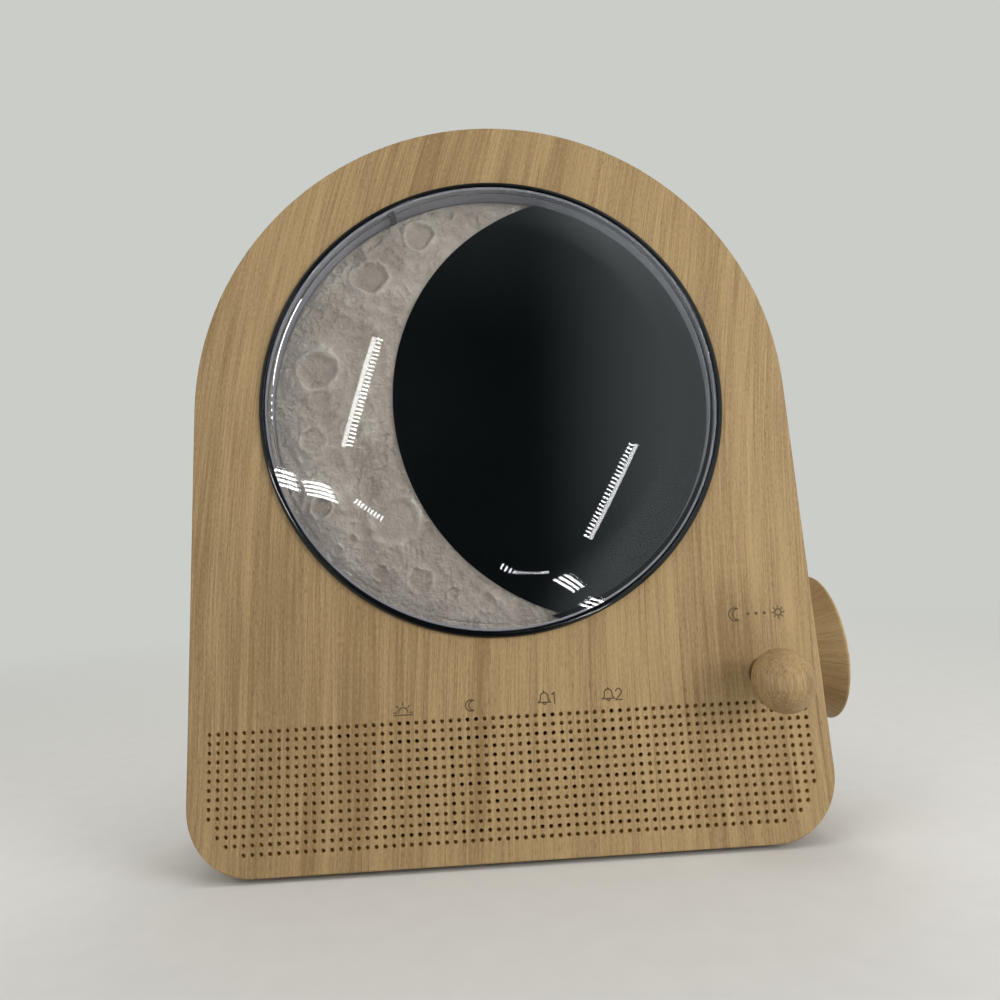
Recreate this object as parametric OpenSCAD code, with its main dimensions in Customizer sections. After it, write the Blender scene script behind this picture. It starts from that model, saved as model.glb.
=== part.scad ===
// Sunrise alarm clock: an arched, wood-covered case with a moon lamp behind a clear
// dome, a field of small holes for the time display, a snooze ball and a side wheel.
// Every piece is drawn in case coordinates: x to the right, y as the depth behind the
// front face, z as the height over the case's underside. seat() moves it into the
// frame, whose origin is the middle of the base pad's underside.

/* [Case] */
// Width across the front
body_w = 150; // [146:1:190]
// Depth from the front face to the rear face
body_d = 45; // [44:0.5:70]
// Height of the arch's centre over the underside
arch_z = 107.7; // [101:0.1:140]
// Radius of the two bottom corners
corner_r = 15.3; // [10:0.1:22]
// Thickness of the side wall
wall_t = 3; // [2.4:0.1:4]
// Thickness of the front panel
panel_t = 3; // [2.4:0.1:4.5]
// Thickness of the rear cover
cover_t = 2.5; // [2:0.1:4]
// Width of the ledge in the side wall that the rear cover lies on
ledge_w = 1.5; // [1:0.1:1.8]
// Gap all round between pieces that slip together
slip = 0.15; // [0.1:0.01:0.3]
// Height of the locating lip behind the front panel
lip_h = 3; // [2:0.1:5]
// Thickness of the locating lip
lip_t = 1.5; // [1:0.1:2]

/* [Hole field] */
// Distance from hole to hole, both ways
pitch = 2; // [1.9:0.01:2.1]
// Diameter of a hole
hole_d = 1; // [0.7:0.05:1.2]
// Depth of the holes that no light shines through
blind_d = 1.6; // [0.8:0.1:2]
// Height of the digits' middle row over the underside
field_z = 18.96; // [18.6:0.01:22]
// Rows above the middle row
rows_up = 6; // [6:1:7]
// Rows below the middle row
rows_down = 7; // [6:1:7]
// Least distance from a hole to the side of the case
field_edge = 5; // [4.5:0.1:8]
// Least distance from a hole to the curve of a bottom corner
corner_edge = 4.5; // [4:0.1:7]

/* [Lens and ring] */
// Distance from the case's outline to the black ring
ring_edge = 16.2; // [15.9:0.1:20]
// Width of the black ring
ring_w = 1.8; // [1.4:0.1:3]
// How far the ring stands out of the front face
ring_proud = 1.4; // [0.8:0.1:2.5]
// Radius of the ring's rounded outer edge
ring_round = 1.2; // [0.5:0.1:1.3]
// Wall of the clear lens
lens_t = 1.8; // [1.2:0.1:2.5]
// Radius of the lens's flat crown
crown_r = 450; // [300:10:700]
// Radius of the lens's shoulder
shoulder_r = 40; // [34:1:60]
// Distance from the axis at which crown and shoulder meet
crown_reach = 44; // [38:0.5:48]

/* [Moon lamp] */
// Wall of the grey tray round the moon
tray_t = 1.6; // [1.2:0.1:2]
// Depth of the moon's rim behind the front face
moon_rim = 7; // [6.5:0.1:9]
// Rise of the moon's face from its rim to its middle
moon_rise = 5; // [3:0.1:6]
// Wall of the moon
moon_t = 2; // [1.6:0.1:3]
// How far a crater's floor lies under the moon's face
crater_sunk = 0.6; // [0.3:0.1:1]
// Thickness of the black mask that leaves the crescent free
mask_t = 0.7; // [0.5:0.1:1.2]
// Radius of the crescent's inner curve
crescent_r = 56.8; // [50:0.1:58.5]
// Distance of the inner curve's centre to the right of the axis
crescent_x = 31.5; // [31:0.1:40]
// Step from the collar round the tray in to the lamp housing's cup
cup_step = 1.15; // [0.6:0.05:2]
// Wall of the lamp housing
cup_t = 2; // [1.6:0.1:3]
// Gap between the lamp housing's back and the main board
cup_clear = 5.9; // [5.2:0.1:8]
// Gap between the round lamp board and the wall round it
lamp_board_edge = 5; // [2:0.5:15]

/* [Display] */
// Thickness of the smoked film behind the holes
film_t = 0.3; // [0.2:0.1:0.5]
// Depth of the light baffle
baffle_t = 5; // [4:0.1:7]
// Diameter of the baffle's light wells
well_d = 1.6; // [1.3:0.05:1.7]
// Thickness of every circuit board
board_t = 1.6; // [1:0.1:2]

/* [Snooze ball] */
// Radius of the ball
ball_r = 7; // [6:0.1:9]
// Distance of the ball's centre in front of the face
ball_out = 11; // [10.5:0.1:14]
// Distance of the ball's axis from the right side
ball_side = 13.4; // [13.2:0.1:13.8]
// Height of the ball's axis over the underside
ball_z = 37.2; // [36.8:0.1:38.5]
// Radius of the ball's stem
stem_r = 2.5; // [2:0.1:2.8]
// Running gap between a shaft and its bush
run_gap = 0.06; // [0.03:0.01:0.1]
// Travel of the ball
ball_travel = 0.8; // [0.5:0.1:0.9]

/* [Side wheel] */
// Largest radius of the wheel
wheel_r = 18; // [16:0.5:19]
// Radius of the wheel next to the case
wheel_root_r = 13.8; // [12:0.1:15]
// Width of the wheel
wheel_w = 9; // [8:0.1:12]
// Gap between the wheel and the case
wheel_gap = 0.6; // [0.4:0.1:1]
// Rounding of the wheel's rim
wheel_round = 1.8; // [1:0.1:2.5]
// Height of the wheel's axis over the underside
wheel_z = 40.2; // [39.5:0.1:42]

/* [Rear] */
// Length of the posts that carry the main board
post_h = 9; // [8.6:0.1:10]
// Radius of a rear button
button_r = 4; // [3:0.1:4.4]
// How far a rear button stands out
button_proud = 0.8; // [0.5:0.1:1.5]
// Travel of a rear button
button_travel = 0.6; // [0.3:0.1:0.6]
// Distance between rear buttons
button_step = 14; // [13:0.1:14.5]
// Outer radius of the speaker
speaker_r = 20; // [18:0.5:21]
// Depth of the speaker without its magnet
speaker_h = 12; // [10:0.5:14]
// Radius of a hole in the speaker grille
grille_r = 0.8; // [0.6:0.05:1]
// Distance between grille holes
grille_pitch = 2.8; // [2.6:0.05:3.2]

/* [Base] */
// How far the base pad stands below the case
pad_proud = 1.2; // [0.8:0.1:2]
// Depth of the pad's recess in the underside
pad_sunk = 0.8; // [0.5:0.1:1.2]

/* [Hidden] */

// Facets of true rounds, of small holes and of screws
fine = 180;
round_fn = 48;
small_fn = 16;

// Half sizes and the main depths
half_w = body_w / 2;
cover_in = body_d - cover_t;
board_back = cover_in - post_h;
board_front = board_back - board_t;

// Hole field: columns to each side, and the light dots of four seven-part digits
cols = floor((half_w - field_edge) / pitch);
digit_cols = [-15, -7, 2, 10];
digit_wide = 5;
colon_rows = [2, 1, -3, -4];
// Each lamp of two dots by its left dot: the unmarked one, two for the half of the
// day, two for the alarms
pair_dots = [[-20, 5], [-13, 6], [-5, 6], [4, 6], [12, 6]];

// Lens: the crown runs into the shoulder without a crease
ring_r = half_w - ring_edge;
lens_r = ring_r - ring_w;
crown_angle = asin(crown_reach / crown_r);
shoulder_x = (crown_r - shoulder_r) * sin(crown_angle);
edge_angle = asin((lens_r - shoulder_x) / shoulder_r);
lens_rise = crown_r * (1 - cos(crown_angle)) + shoulder_r * (cos(crown_angle) - cos(edge_angle));
lens_top = -ring_proud - lens_rise;
shoulder_y = lens_top + crown_r - (crown_r - shoulder_r) * cos(crown_angle);
skirt_t = 1.8;
lens_foot = 0.2;

// Tray and window
tray_r = lens_r - 0.6;
tray_out = tray_r + tray_t;
window_r = tray_out + slip;
flange_t = 1.8;
tray_back = moon_rim + moon_t;

// Moon: a shallow dome, and its craters as [x, z, radius] in parts of the moon's radius
moon_r = tray_r - 0.1;
moon_ball = (moon_r * moon_r + moon_rise * moon_rise) / (2 * moon_rise);
moon_centre = moon_rim - moon_rise + moon_ball;
craters = moon_r * [
  [-0.542, 0.622, 0.087], [-0.797, 0.178, 0.096], [-0.306, 0.824, 0.071], [-0.787, -0.451, 0.046],
  [-0.462, -0.524, 0.1], [-0.652, -0.593, 0.02], [-0.826, -0.142, 0.06], [-0.675, 0.4, 0.043],
  [-0.64, -0.107, 0.053], [-0.355, -0.79, 0.057], [-0.533, -0.746, 0.039], [-0.107, 0.897, 0.039],
  [-0.071, -0.897, 0.043], [-0.799, 0.453, 0.036], [-0.55, 0.213, 0.043]
];

// Lamp housing
collar_in = tray_out + slip;
collar_out = collar_in + cup_t;
cup_r = collar_in - cup_step;
cup_back = board_front - cup_clear;
shelf_t = 2;
ear_front = panel_t + flange_t;
ear_t = 2.4;
ear_half = 3.4;
ear_neck = 2.7;
ear_angles = [45, 135, 225, 315];
ear_r = half_w - wall_t - slip - lip_t - ear_half - 0.4;
boss_r = 3;
flange_r = ear_r - boss_r - 0.3;
pilot_r = 1.1;
lamp_board_r = cup_r - cup_t - lamp_board_edge;
lamp_board_front = cup_back - cup_t - board_t;
led_rings = [for (k = [0:3]) [max(1, 6 * k), 0.28 * k * lamp_board_r]];
led_size = [3, 0.8, 3];
// Where the lamp's lead leaves the housing, from the axis
lead_out = [10, -30];

// Display: the baffle covers every light dot, and the board is wider for its screws
dot_low_x = -20 * pitch;
dot_high_x = 15 * pitch;
baffle_margin = 3;
baffle_x = [dot_low_x - baffle_margin, dot_high_x + baffle_margin];
baffle_z = [field_z - 6 * pitch - 1.9, field_z + 6 * pitch + 2];
film_back = panel_t + film_t;
baffle_back = film_back + baffle_t;
display_back = baffle_back + board_t;
ear_x = 7;
display_x = [baffle_x[0] - ear_x, baffle_x[1] + ear_x];
display_screw_x = [display_x[0] + 3.4, display_x[1] - 3.4];
display_screw_z = [baffle_z[0] + 4, baffle_z[1] - 4];
chip_size = [1, 0.8, 0.5];

// Snooze: ball, stem, collar, spring and switch, front to back
ball_x = half_w - ball_side;
ball_bore = 3.5;
bush_r = stem_r + 1.5;
bush_flange_t = 1.5;
collar_front = panel_t + bush_flange_t + 0.1;
collar_t = 1;
spring_wire = 0.5;
spring_turns = 5;
spring_mean_r = stem_r + 1.5;
collar_r = spring_mean_r + 0.3;
spring_front = collar_front + collar_t + 0.05 + spring_wire / 2;
snooze_room = body_d / 4.5;
snooze_board_front = panel_t + snooze_room;
snooze_board_t = 1.2;
spring_back = snooze_board_front - 0.05 - spring_wire / 2;
switch_side = 4.4;
switch_h = 2.7;
plunger_h = 0.45;
plunger_r = 1.1;
stem_end = snooze_board_front - switch_h - plunger_h - ball_travel - 0.05;
snooze_post_x = 7;
snooze_post_r = 2;
bush_flange_r = snooze_post_x - snooze_post_r - 0.2;
snooze_pin_r = 1;
snooze_board_half = [9, 5];

// Side wheel: shaft and encoder lie on the axis that runs out of the right side
wheel_y = body_d / 2;
shaft_r = 3;
shaft_out = 9;
thread_r = 3.5;
thread_out = 2.4;
nut_t = 2;
nut_across = 10;
encoder_half = 6;
encoder_deep = 6.5;
recess_r = 8.5;
recess_h = 3;
encoder_board_half = [6.9, 9];

// Rear: cover screws, main board with its four buttons, inlet and speaker
screw_r = 1.25;
head_r = 2.9;
head_t = 1.1;
screw_boss_r = 3.5;
screw_len = 12;
corner_reach = corner_r - wall_t - screw_boss_r + 0.3;
side_reach = half_w - wall_t - screw_boss_r + 0.3;
arch_angles = [0, 60, 120, 180];
screw_spots = concat(
  [for (side = [-1, 1]) [
    side * (half_w - corner_r + corner_reach * cos(45)), corner_r - corner_reach * sin(45)
  ]],
  [for (a = arch_angles) [side_reach * cos(a), arch_z + side_reach * sin(a)]]
);
main_x = [-12, 46];
main_z = [6.5, 42];
post_r = 3;
board_screw_bite = 5;
post_spots = [for (x = [main_x[0] + 3.5, main_x[1] - 3.5], z = [main_z[0] + 3.5, main_z[1] - 3.5]) [x, z]];
button_z = 30;
button_x = [for (k = [0:3]) -4.5 + k * button_step];
button_gap = 0.2;
button_flange_r = button_r + 1.2;
button_flange_t = 1.1;
rear_switch_side = 6;
rear_switch_h = 3.5;
rear_plunger_r = 1.7;
rear_plunger_h = 0.9;
button_stem_r = 1.6;
usb_x = 17;
usb_z = 15;
usb_w = 8.94;
usb_h = 3.26;
usb_wall = 0.3;
usb_short = 0.5;
speaker_x = -40;
speaker_z = 26;
gasket_t = 0.5;
speaker_front = cover_in - gasket_t;
basket_t = 1.2;
cone_t = 0.5;
magnet_r = 0.55 * speaker_r;
magnet_h = 7;
grille_rings = 6;
rib_gap = 0.3;
rib_t = 1.5;
rib_h = 3;

// Main board parts: cell, connectors and chips as [x, z, width, height, depth]
cell_x = 6;
cell_z = 19;
cell_r = 10;
cell_t = 3.2;
holder_r = 11.5;
holder_t = 4;
holder_notch = [7, 6];
lamp_plug = [10, 37.5, 8, 7, 4];
speaker_plug = [-8.5, 24, 5, 8, 4];
ribbon_plug = [29, 24, 14, 4, 2.5];
chips = [[29, 35, 10, 8, 1.6], [19.5, 36, 4, 5, 1.2], [40, 30, 5, 5, 1.1], [38, 18, 4, 9, 3]];
can_spots = [[40.5, 24.8], [22.5, 11], [29, 11]];
can_r = 2.2;
can_h = 5;
wire_r = 0.6;

// Ribbon: it leaves both plugs square and hangs between them in one wave
ribbon_w = 12;
ribbon_t = 0.3;
display_plug_back = display_back + 2.5;
ribbon_plug_front = board_front - ribbon_plug[4];
ribbon_bend = (ribbon_plug_front - display_plug_back) / 4;
ribbon_drop = 6;

// Moves a piece from case coordinates into the frame
module seat() {
  translate([0, -body_d / 2, pad_proud]) children();
}

// A flat piece, drawn as seen from the front, between two depths
module plate(front, back) {
  translate([0, back, 0]) rotate([90, 0, 0]) linear_extrude(back - front) children();
}

// A turned piece about an axis from front to back; its outline is [radius, depth]
module turned(x, z) {
  translate([x, 0, z]) rotate([-90, 0, 0]) rotate_extrude($fn = fine) children();
}

// A round bar or bore from front to back
module rod(x, z, front, back, r, fn = round_fn) {
  translate([x, front, z]) rotate([-90, 0, 0]) cylinder(r = r, h = back - front, $fn = fn);
}

// A turned piece about the wheel's axis; its outline is [radius, distance out of the side]
module wheel_turned() {
  translate([half_w, wheel_y, wheel_z]) rotate([0, 90, 0]) rotate_extrude($fn = fine) children();
}

// The case's outline, drawn in by a distance
module arch(inset) {
  translate([0, arch_z]) circle(r = half_w - inset, $fn = fine);
  translate([inset - half_w, corner_r]) square([body_w - 2 * inset, arch_z - corner_r]);
  translate([corner_r - half_w, inset]) square([body_w - 2 * corner_r, corner_r]);
  for (side = [-1, 1])
    translate([side * (half_w - corner_r), corner_r]) circle(r = corner_r - inset, $fn = fine);
}

// A box between two corners on x and z, and two depths
module block(x, z, front, back) {
  translate([x[0], front, z[0]]) cube([x[1] - x[0], back - front, z[1] - z[0]]);
}

// A box by its middle on x and z, its width and height, and two depths
module centred_block(x, z, w, h, front, back) {
  block([x - w / 2, x + w / 2], [z - h / 2, z + h / 2], front, back);
}

// A hole stays unless it comes too close to the curve of a bottom corner
function hole_kept(col, row) =
  let (dx = abs(col * pitch) - (half_w - corner_r), dz = corner_r - (field_z + row * pitch))
  dx <= 0 || dz <= 0 || norm([dx, dz]) <= corner_r - corner_edge;

// The dots of one seven-part digit whose left bar stands in column c0
function digit_dot(col, row, c0) =
  (col == c0 || col == c0 + digit_wide)
    ? (row >= 0 && row <= 3) || (row >= -5 && row <= -2)
    : col > c0 && col < c0 + digit_wide && (row == 4 || row == -1 || row == -6);

// True where a light shines through the hole
function light_dot(col, row) =
  max([for (c0 = digit_cols) digit_dot(col, row, c0) ? 1 : 0]) == 1
  || (col == 0 && len(search(row, colon_rows)) > 0)
  || max([for (p = pair_dots) row == p[1] && (col == p[0] || col == p[0] + 1) ? 1 : 0]) == 1;

light_spots = [
  for (row = [-rows_down:rows_up], col = [-cols:cols])
    if (light_dot(col, row)) [col * pitch, field_z + row * pitch]
];

// Arched front with the window, the hole field, the bush's hole and what stands on its back
module front_panel() color("burlywood") seat() difference() {
  union() {
    plate(0, panel_t) arch(0);
    plate(panel_t, panel_t + lip_h) difference() {
      arch(wall_t + slip);
      arch(wall_t + slip + lip_t);
    }
    for (a = ear_angles)
      rod(ear_r * cos(a), arch_z + ear_r * sin(a), panel_t - 0.5, ear_front, boss_r);
    for (x = display_screw_x, z = display_screw_z)
      rod(x, z, panel_t - 0.5, baffle_back, pilot_r + 1.3);
    for (side = [-1, 1]) {
      rod(ball_x + side * snooze_post_x, ball_z, panel_t - 0.5, snooze_board_front, snooze_post_r);
      rod(ball_x + side * snooze_post_x, ball_z, snooze_board_front - 0.5,
          snooze_board_front + snooze_board_t + 0.4, snooze_pin_r);
    }
  }
  rod(0, arch_z, -1, panel_t + 1, window_r, fine);
  rod(ball_x, ball_z, -1, panel_t + 1, bush_r);
  for (a = ear_angles)
    rod(ear_r * cos(a), arch_z + ear_r * sin(a), blind_d - 0.6, ear_front + 1, pilot_r);
  for (x = display_screw_x, z = display_screw_z)
    rod(x, z, panel_t, baffle_back + 1, pilot_r);
  for (row = [-rows_down:rows_up], col = [-cols:cols])
    if (hole_kept(col, row))
      rod(col * pitch, field_z + row * pitch, -1,
          light_dot(col, row) ? panel_t + 1 : blind_d, hole_d / 2, small_fn);
}

// Side wall that runs round the arch, with the ledge, six screw bosses and the pad's recess
module body_shell() color("tan") seat() difference() {
  union() {
    plate(panel_t, body_d) difference() {
      arch(0);
      arch(wall_t);
    }
    for (s = screw_spots) rod(s[0], s[1], panel_t + lip_h + 0.3, cover_in, screw_boss_r);
  }
  plate(cover_in, body_d + 1) arch(ledge_w);
  for (s = screw_spots) rod(s[0], s[1], cover_in - screw_len, cover_in + 1, screw_r);
  translate([half_w - wall_t - 2, wheel_y, wheel_z]) rotate([0, 90, 0])
    cylinder(r = thread_r + 0.1, h = wall_t + 4, $fn = round_fn);
  base_shape(-1, pad_sunk, slip);
}

// The base pad's outline between two heights, grown by a distance
module base_shape(low, high, grow) {
  pad_r = 8;
  pad_half = [half_w - corner_r - 2, body_d / 2 - 6];
  translate([0, body_d / 2, low]) linear_extrude(high - low) union() {
    square([2 * (pad_half[0] + grow), 2 * (pad_half[1] + grow - pad_r)], center = true);
    square([2 * (pad_half[0] + grow - pad_r), 2 * (pad_half[1] + grow)], center = true);
    for (sx = [-1, 1], sy = [-1, 1])
      translate([sx * (pad_half[0] - pad_r), sy * (pad_half[1] - pad_r)])
        circle(r = pad_r + grow, $fn = fine);
  }
}

// Soft pad under the case, let into the underside
module base_pad() color("dimgray") seat() base_shape(-pad_proud, pad_sunk, 0);

// Flat cover in the shell's rear ledge, with posts, speaker rib, grille and openings
module rear_cover() color("wheat") seat() difference() {
  union() {
    plate(cover_in, body_d) arch(ledge_w + slip);
    for (p = post_spots) rod(p[0], p[1], board_back, cover_in + 0.5, post_r);
    rod(speaker_x, speaker_z, cover_in - rib_h, cover_in + 0.5, speaker_r + rib_gap + rib_t, fine);
  }
  rod(speaker_x, speaker_z, cover_in - rib_h - 1, cover_in, speaker_r + rib_gap, fine);
  for (p = post_spots) rod(p[0], p[1], board_back - 1, cover_in - 1, pilot_r);
  for (s = screw_spots) {
    rod(s[0], s[1], cover_in - 1, body_d + 1, screw_r + 0.3);
    rod(s[0], s[1], body_d - head_t - 0.1, body_d + 1, head_r + 0.2);
  }
  for (x = button_x) rod(x, button_z, cover_in - 1, body_d + 1, button_r + button_gap);
  plate(cover_in - 1, body_d + 1) stadium(usb_x, usb_z, usb_w + 0.5, usb_h + 0.5);
  for (ring = [0:grille_rings - 1], k = [0:max(0, 6 * ring - 1)])
    let (a = ring == 0 ? 0 : k * 60 / ring)
      rod(speaker_x + ring * grille_pitch * cos(a), speaker_z + ring * grille_pitch * sin(a),
          cover_in - 1, body_d + 1, grille_r, small_fn);
}

// A slot with round ends
module stadium(x, z, w, h) {
  translate([x, z]) {
    square([w - h, h], center = true);
    for (side = [-1, 1]) translate([side * (w - h) / 2, 0]) circle(d = h, $fn = round_fn);
  }
}

// A pan-head screw driven from behind, with a cross in its head
module rear_screw(x, z, under_head, shank_r, r, t, length) {
  difference() {
    union() {
      rod(x, z, under_head - length, under_head, shank_r, round_fn);
      rod(x, z, under_head, under_head + t, r, round_fn);
    }
    for (w = [[2.6, 0.7], [0.7, 2.6]])
      centred_block(x, z, w[0] * r / 2.9, w[1] * r / 2.9, under_head + t / 2, under_head + t + 1);
  }
}

module cover_screws() color("silver") seat()
  for (s = screw_spots)
    rear_screw(s[0], s[1], body_d - head_t - 0.1, screw_r, head_r, head_t, screw_len - 2);

// Gloss-black ring round the lens: flat inner band, rounded outer edge, lip in the window
module bezel_ring() color("black") seat() turned(0, arch_z) {
  inner = lens_r + slip;
  width = ring_r - inner;
  union() {
    intersection() {
      union() {
        translate([inner, -ring_proud]) square([width - ring_round, ring_proud]);
        translate([inner, ring_round - ring_proud]) square([width, ring_proud]);
        translate([ring_r - ring_round, ring_round - ring_proud]) circle(r = ring_round, $fn = fine);
      }
      translate([inner, -ring_proud]) square([width, ring_proud]);
    }
    translate([inner, 0]) square([tray_out - inner, lens_foot]);
  }
}

// Everything behind the lens's outer surface, drawn in by a distance
module lens_fill(inset) {
  intersection() {
    translate([0, lens_top + crown_r]) circle(r = crown_r - inset, $fn = fine);
    polygon([[0, lens_top + crown_r], [0, lens_top - 1], [(crown_r + 1) * tan(crown_angle), lens_top - 1]]);
  }
  translate([shoulder_x, shoulder_y]) circle(r = shoulder_r - inset, $fn = fine);
}

// Clear lens: a flat crown, a steeper shoulder, and a skirt that stands on the tray
module dome_lens() color("lightcyan", 0.35) seat() turned(0, arch_z) difference() {
  union() {
    intersection() {
      lens_fill(0);
      translate([0, lens_top - 1]) square([lens_r, -ring_proud - lens_top + 1]);
    }
    translate([0, -ring_proud]) square([lens_r, ring_proud + lens_foot]);
  }
  intersection() {
    lens_fill(lens_t);
    translate([0, lens_top - 1]) square([lens_r - skirt_t, lens_foot - lens_top + 2]);
  }
  translate([0, -ring_proud]) square([lens_r - skirt_t, ring_proud + lens_foot + 1]);
}

// Grey tray round the moon: its wall carries the lens, its flange lies behind the panel
module lens_tray() color("slategray") seat() turned(0, arch_z) union() {
  translate([tray_r, lens_foot]) square([tray_t, tray_back - lens_foot]);
  translate([tray_out, panel_t]) square([flange_r - tray_out, flange_t]);
}

// Depth of the moon's face behind the front, at a place from the axis
function moon_depth(x, z) = moon_centre - sqrt(moon_ball * moon_ball - x * x - z * z);

// Translucent moon: a shallow dome on a rim, with flat-floored craters sunk in its face
module moon_diffuser() color("linen") seat() difference() {
  turned(0, arch_z) difference() {
    union() {
      intersection() {
        translate([0, moon_centre]) circle(r = moon_ball, $fn = fine);
        translate([0, lens_top]) square([moon_r, moon_rim - lens_top]);
      }
      translate([0, moon_rim]) square([moon_r, tray_back - moon_rim]);
    }
    intersection() {
      translate([0, moon_centre]) circle(r = moon_ball - moon_t, $fn = fine);
      translate([0, lens_top]) square([moon_r - moon_t, tray_back - lens_top + 1]);
    }
  }
  for (c = craters) rod(c[0], arch_z + c[1], lens_top, moon_depth(c[0], c[1]) + crater_sunk, c[2]);
}

// Black mask over the moon, cut away along the crescent's inner curve
module moon_mask() color("black") seat() intersection() {
  difference() {
    translate([0, moon_centre, arch_z]) sphere(r = moon_ball + 0.1 + mask_t, $fn = fine);
    translate([0, moon_centre, arch_z]) sphere(r = moon_ball + 0.1, $fn = fine);
  }
  rod(0, arch_z, lens_top, moon_rim, moon_r, fine);
  rod(crescent_x, arch_z, lens_top, moon_rim, crescent_r, fine);
}

// White cup behind the moon: collar round the tray, shelf under the moon, closed back, ears
module lamp_housing() color("whitesmoke") seat() difference() {
  union() {
    turned(0, arch_z) union() {
      translate([collar_in, ear_front]) square([cup_t, tray_back - ear_front + shelf_t]);
      translate([cup_r - cup_t - 1, tray_back]) square([collar_out - cup_r + cup_t + 1, shelf_t]);
      translate([cup_r - cup_t, tray_back]) square([cup_t, cup_back - tray_back]);
      translate([0, cup_back - cup_t]) square([cup_r, cup_t]);
    }
    for (a = ear_angles) ear(a);
  }
  for (a = ear_angles)
    rod(ear_r * cos(a), arch_z + ear_r * sin(a), ear_front - 1, ear_front + ear_t + 1, pilot_r + 0.3);
  rod(lead_out[0], arch_z + lead_out[1], cup_back - cup_t - 1, cup_back + 1, 2.5);
}

// One screw ear that reaches from the collar to its boss
module ear(angle) {
  translate([0, 0, arch_z]) rotate([0, -angle, 0]) {
    block([collar_out - 0.7, ear_r - 1.9], [-ear_neck, ear_neck], ear_front, ear_front + ear_t);
    rod(ear_r, 0, ear_front, ear_front + ear_t, ear_half);
  }
}

module lamp_screws() color("silver") seat()
  for (a = ear_angles)
    rear_screw(ear_r * cos(a), arch_z + ear_r * sin(a), ear_front + ear_t, pilot_r, 2.4, 1,
               ear_front + ear_t - blind_d);

module lamp_board() color("white") seat() difference() {
  rod(0, arch_z, lamp_board_front, cup_back - cup_t, lamp_board_r, fine);
  rod(lead_out[0], arch_z + lead_out[1], lamp_board_front - 1, cup_back, 1.6);
}

// Light chips in rings round the middle
module lamp_leds() color("khaki") seat()
  for (ring = led_rings, k = [0:ring[0] - 1])
    let (a = k * 360 / ring[0] + 15)
      centred_block(ring[1] * cos(a), arch_z + ring[1] * sin(a), led_size[0], led_size[2],
                    lamp_board_front - led_size[1], lamp_board_front);

module display_film() color("darkslategray") seat()
  block([baffle_x[0] + 0.5, baffle_x[1] - 0.5], [baffle_z[0] + 0.3, baffle_z[1] - 0.3], panel_t, film_back);

// Dark block with one well for every light dot
module light_baffle() color("saddlebrown") seat() difference() {
  block(baffle_x, baffle_z, film_back, baffle_back);
  for (s = light_spots) rod(s[0], s[1], film_back - 1, baffle_back + 1, well_d / 2, small_fn);
}

module display_board() color("darkgreen") seat() difference() {
  union() {
    block(display_x, baffle_z, baffle_back, display_back);
    centred_block(ribbon_plug[0], ribbon_plug[1], ribbon_plug[2], ribbon_plug[3], display_back,
                  display_plug_back);
  }
  for (x = display_screw_x, z = display_screw_z)
    rod(x, z, baffle_back - 1, display_back + 1, pilot_r + 0.2);
}

// One chip stands in each well of the baffle
module display_leds() color("gold") seat()
  for (s = light_spots)
    centred_block(s[0], s[1], chip_size[0], chip_size[2], baffle_back - chip_size[1], baffle_back);

module display_screws() color("silver") seat()
  for (x = display_screw_x, z = display_screw_z)
    rear_screw(x, z, display_back, pilot_r, 2.2, 1, board_t + baffle_t);

module main_board() color("seagreen") seat() difference() {
  block(main_x, main_z, board_front, board_back);
  for (p = post_spots) rod(p[0], p[1], board_front - 1, board_back + 1, pilot_r + 0.2);
}

// Plugs, chips and cans on the front of the main board
module board_parts() color("dimgray") seat() {
  for (c = concat([lamp_plug, speaker_plug, ribbon_plug], chips))
    centred_block(c[0], c[1], c[2], c[3], board_front - c[4], board_front);
  for (c = can_spots) rod(c[0], c[1], board_front - can_h, board_front, can_r);
}

// Screws that hold the main board from the front
module board_screws() color("silver") seat()
  translate([0, 2 * board_front, 0]) mirror([0, 1, 0])
    for (p = post_spots) rear_screw(p[0], p[1], board_front, pilot_r, 2.2, 1, board_t + board_screw_bite);

// Flat ribbon from the display board to the main board
module ribbon_cable() color("lightgray") seat()
  translate([ribbon_plug[0] - ribbon_w / 2, 0, ribbon_plug[1]]) rotate([90, 0, 90])
    linear_extrude(ribbon_w) {
      y0 = display_plug_back;
      b = ribbon_bend;
      translate([y0, -b]) quarter(b, 0);
      translate([y0 + b - ribbon_t / 2, -b - ribbon_drop]) square([ribbon_t, ribbon_drop]);
      translate([y0 + 2 * b, -b - ribbon_drop]) {
        quarter(b, 180);
        quarter(b, 270);
      }
      translate([y0 + 3 * b - ribbon_t / 2, -b - ribbon_drop]) square([ribbon_t, ribbon_drop]);
      translate([y0 + 4 * b, -b]) quarter(b, 90);
    }

// A quarter of a thin round strip that starts at an angle
module quarter(r, start) {
  reach = r + ribbon_t;
  rotate(start) intersection() {
    difference() {
      circle(r = r + ribbon_t / 2, $fn = fine);
      circle(r = r - ribbon_t / 2, $fn = fine);
    }
    square([reach, reach]);
  }
}

// Open cup that holds the coin cell, with a notch to lift it out
module cell_holder() color("ivory") seat() difference() {
  rod(cell_x, cell_z, board_front - holder_t, board_front, holder_r, fine);
  rod(cell_x, cell_z, board_front - holder_t - 1, board_front - holder_t + cell_t, cell_r + slip, fine);
  centred_block(cell_x, cell_z - cell_r, holder_notch[0], holder_notch[1], board_front - holder_t - 1,
                board_front - 1);
}

module backup_cell() color("silver") seat()
  rod(cell_x, cell_z, board_front - holder_t, board_front - holder_t + cell_t, cell_r, fine);

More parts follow.
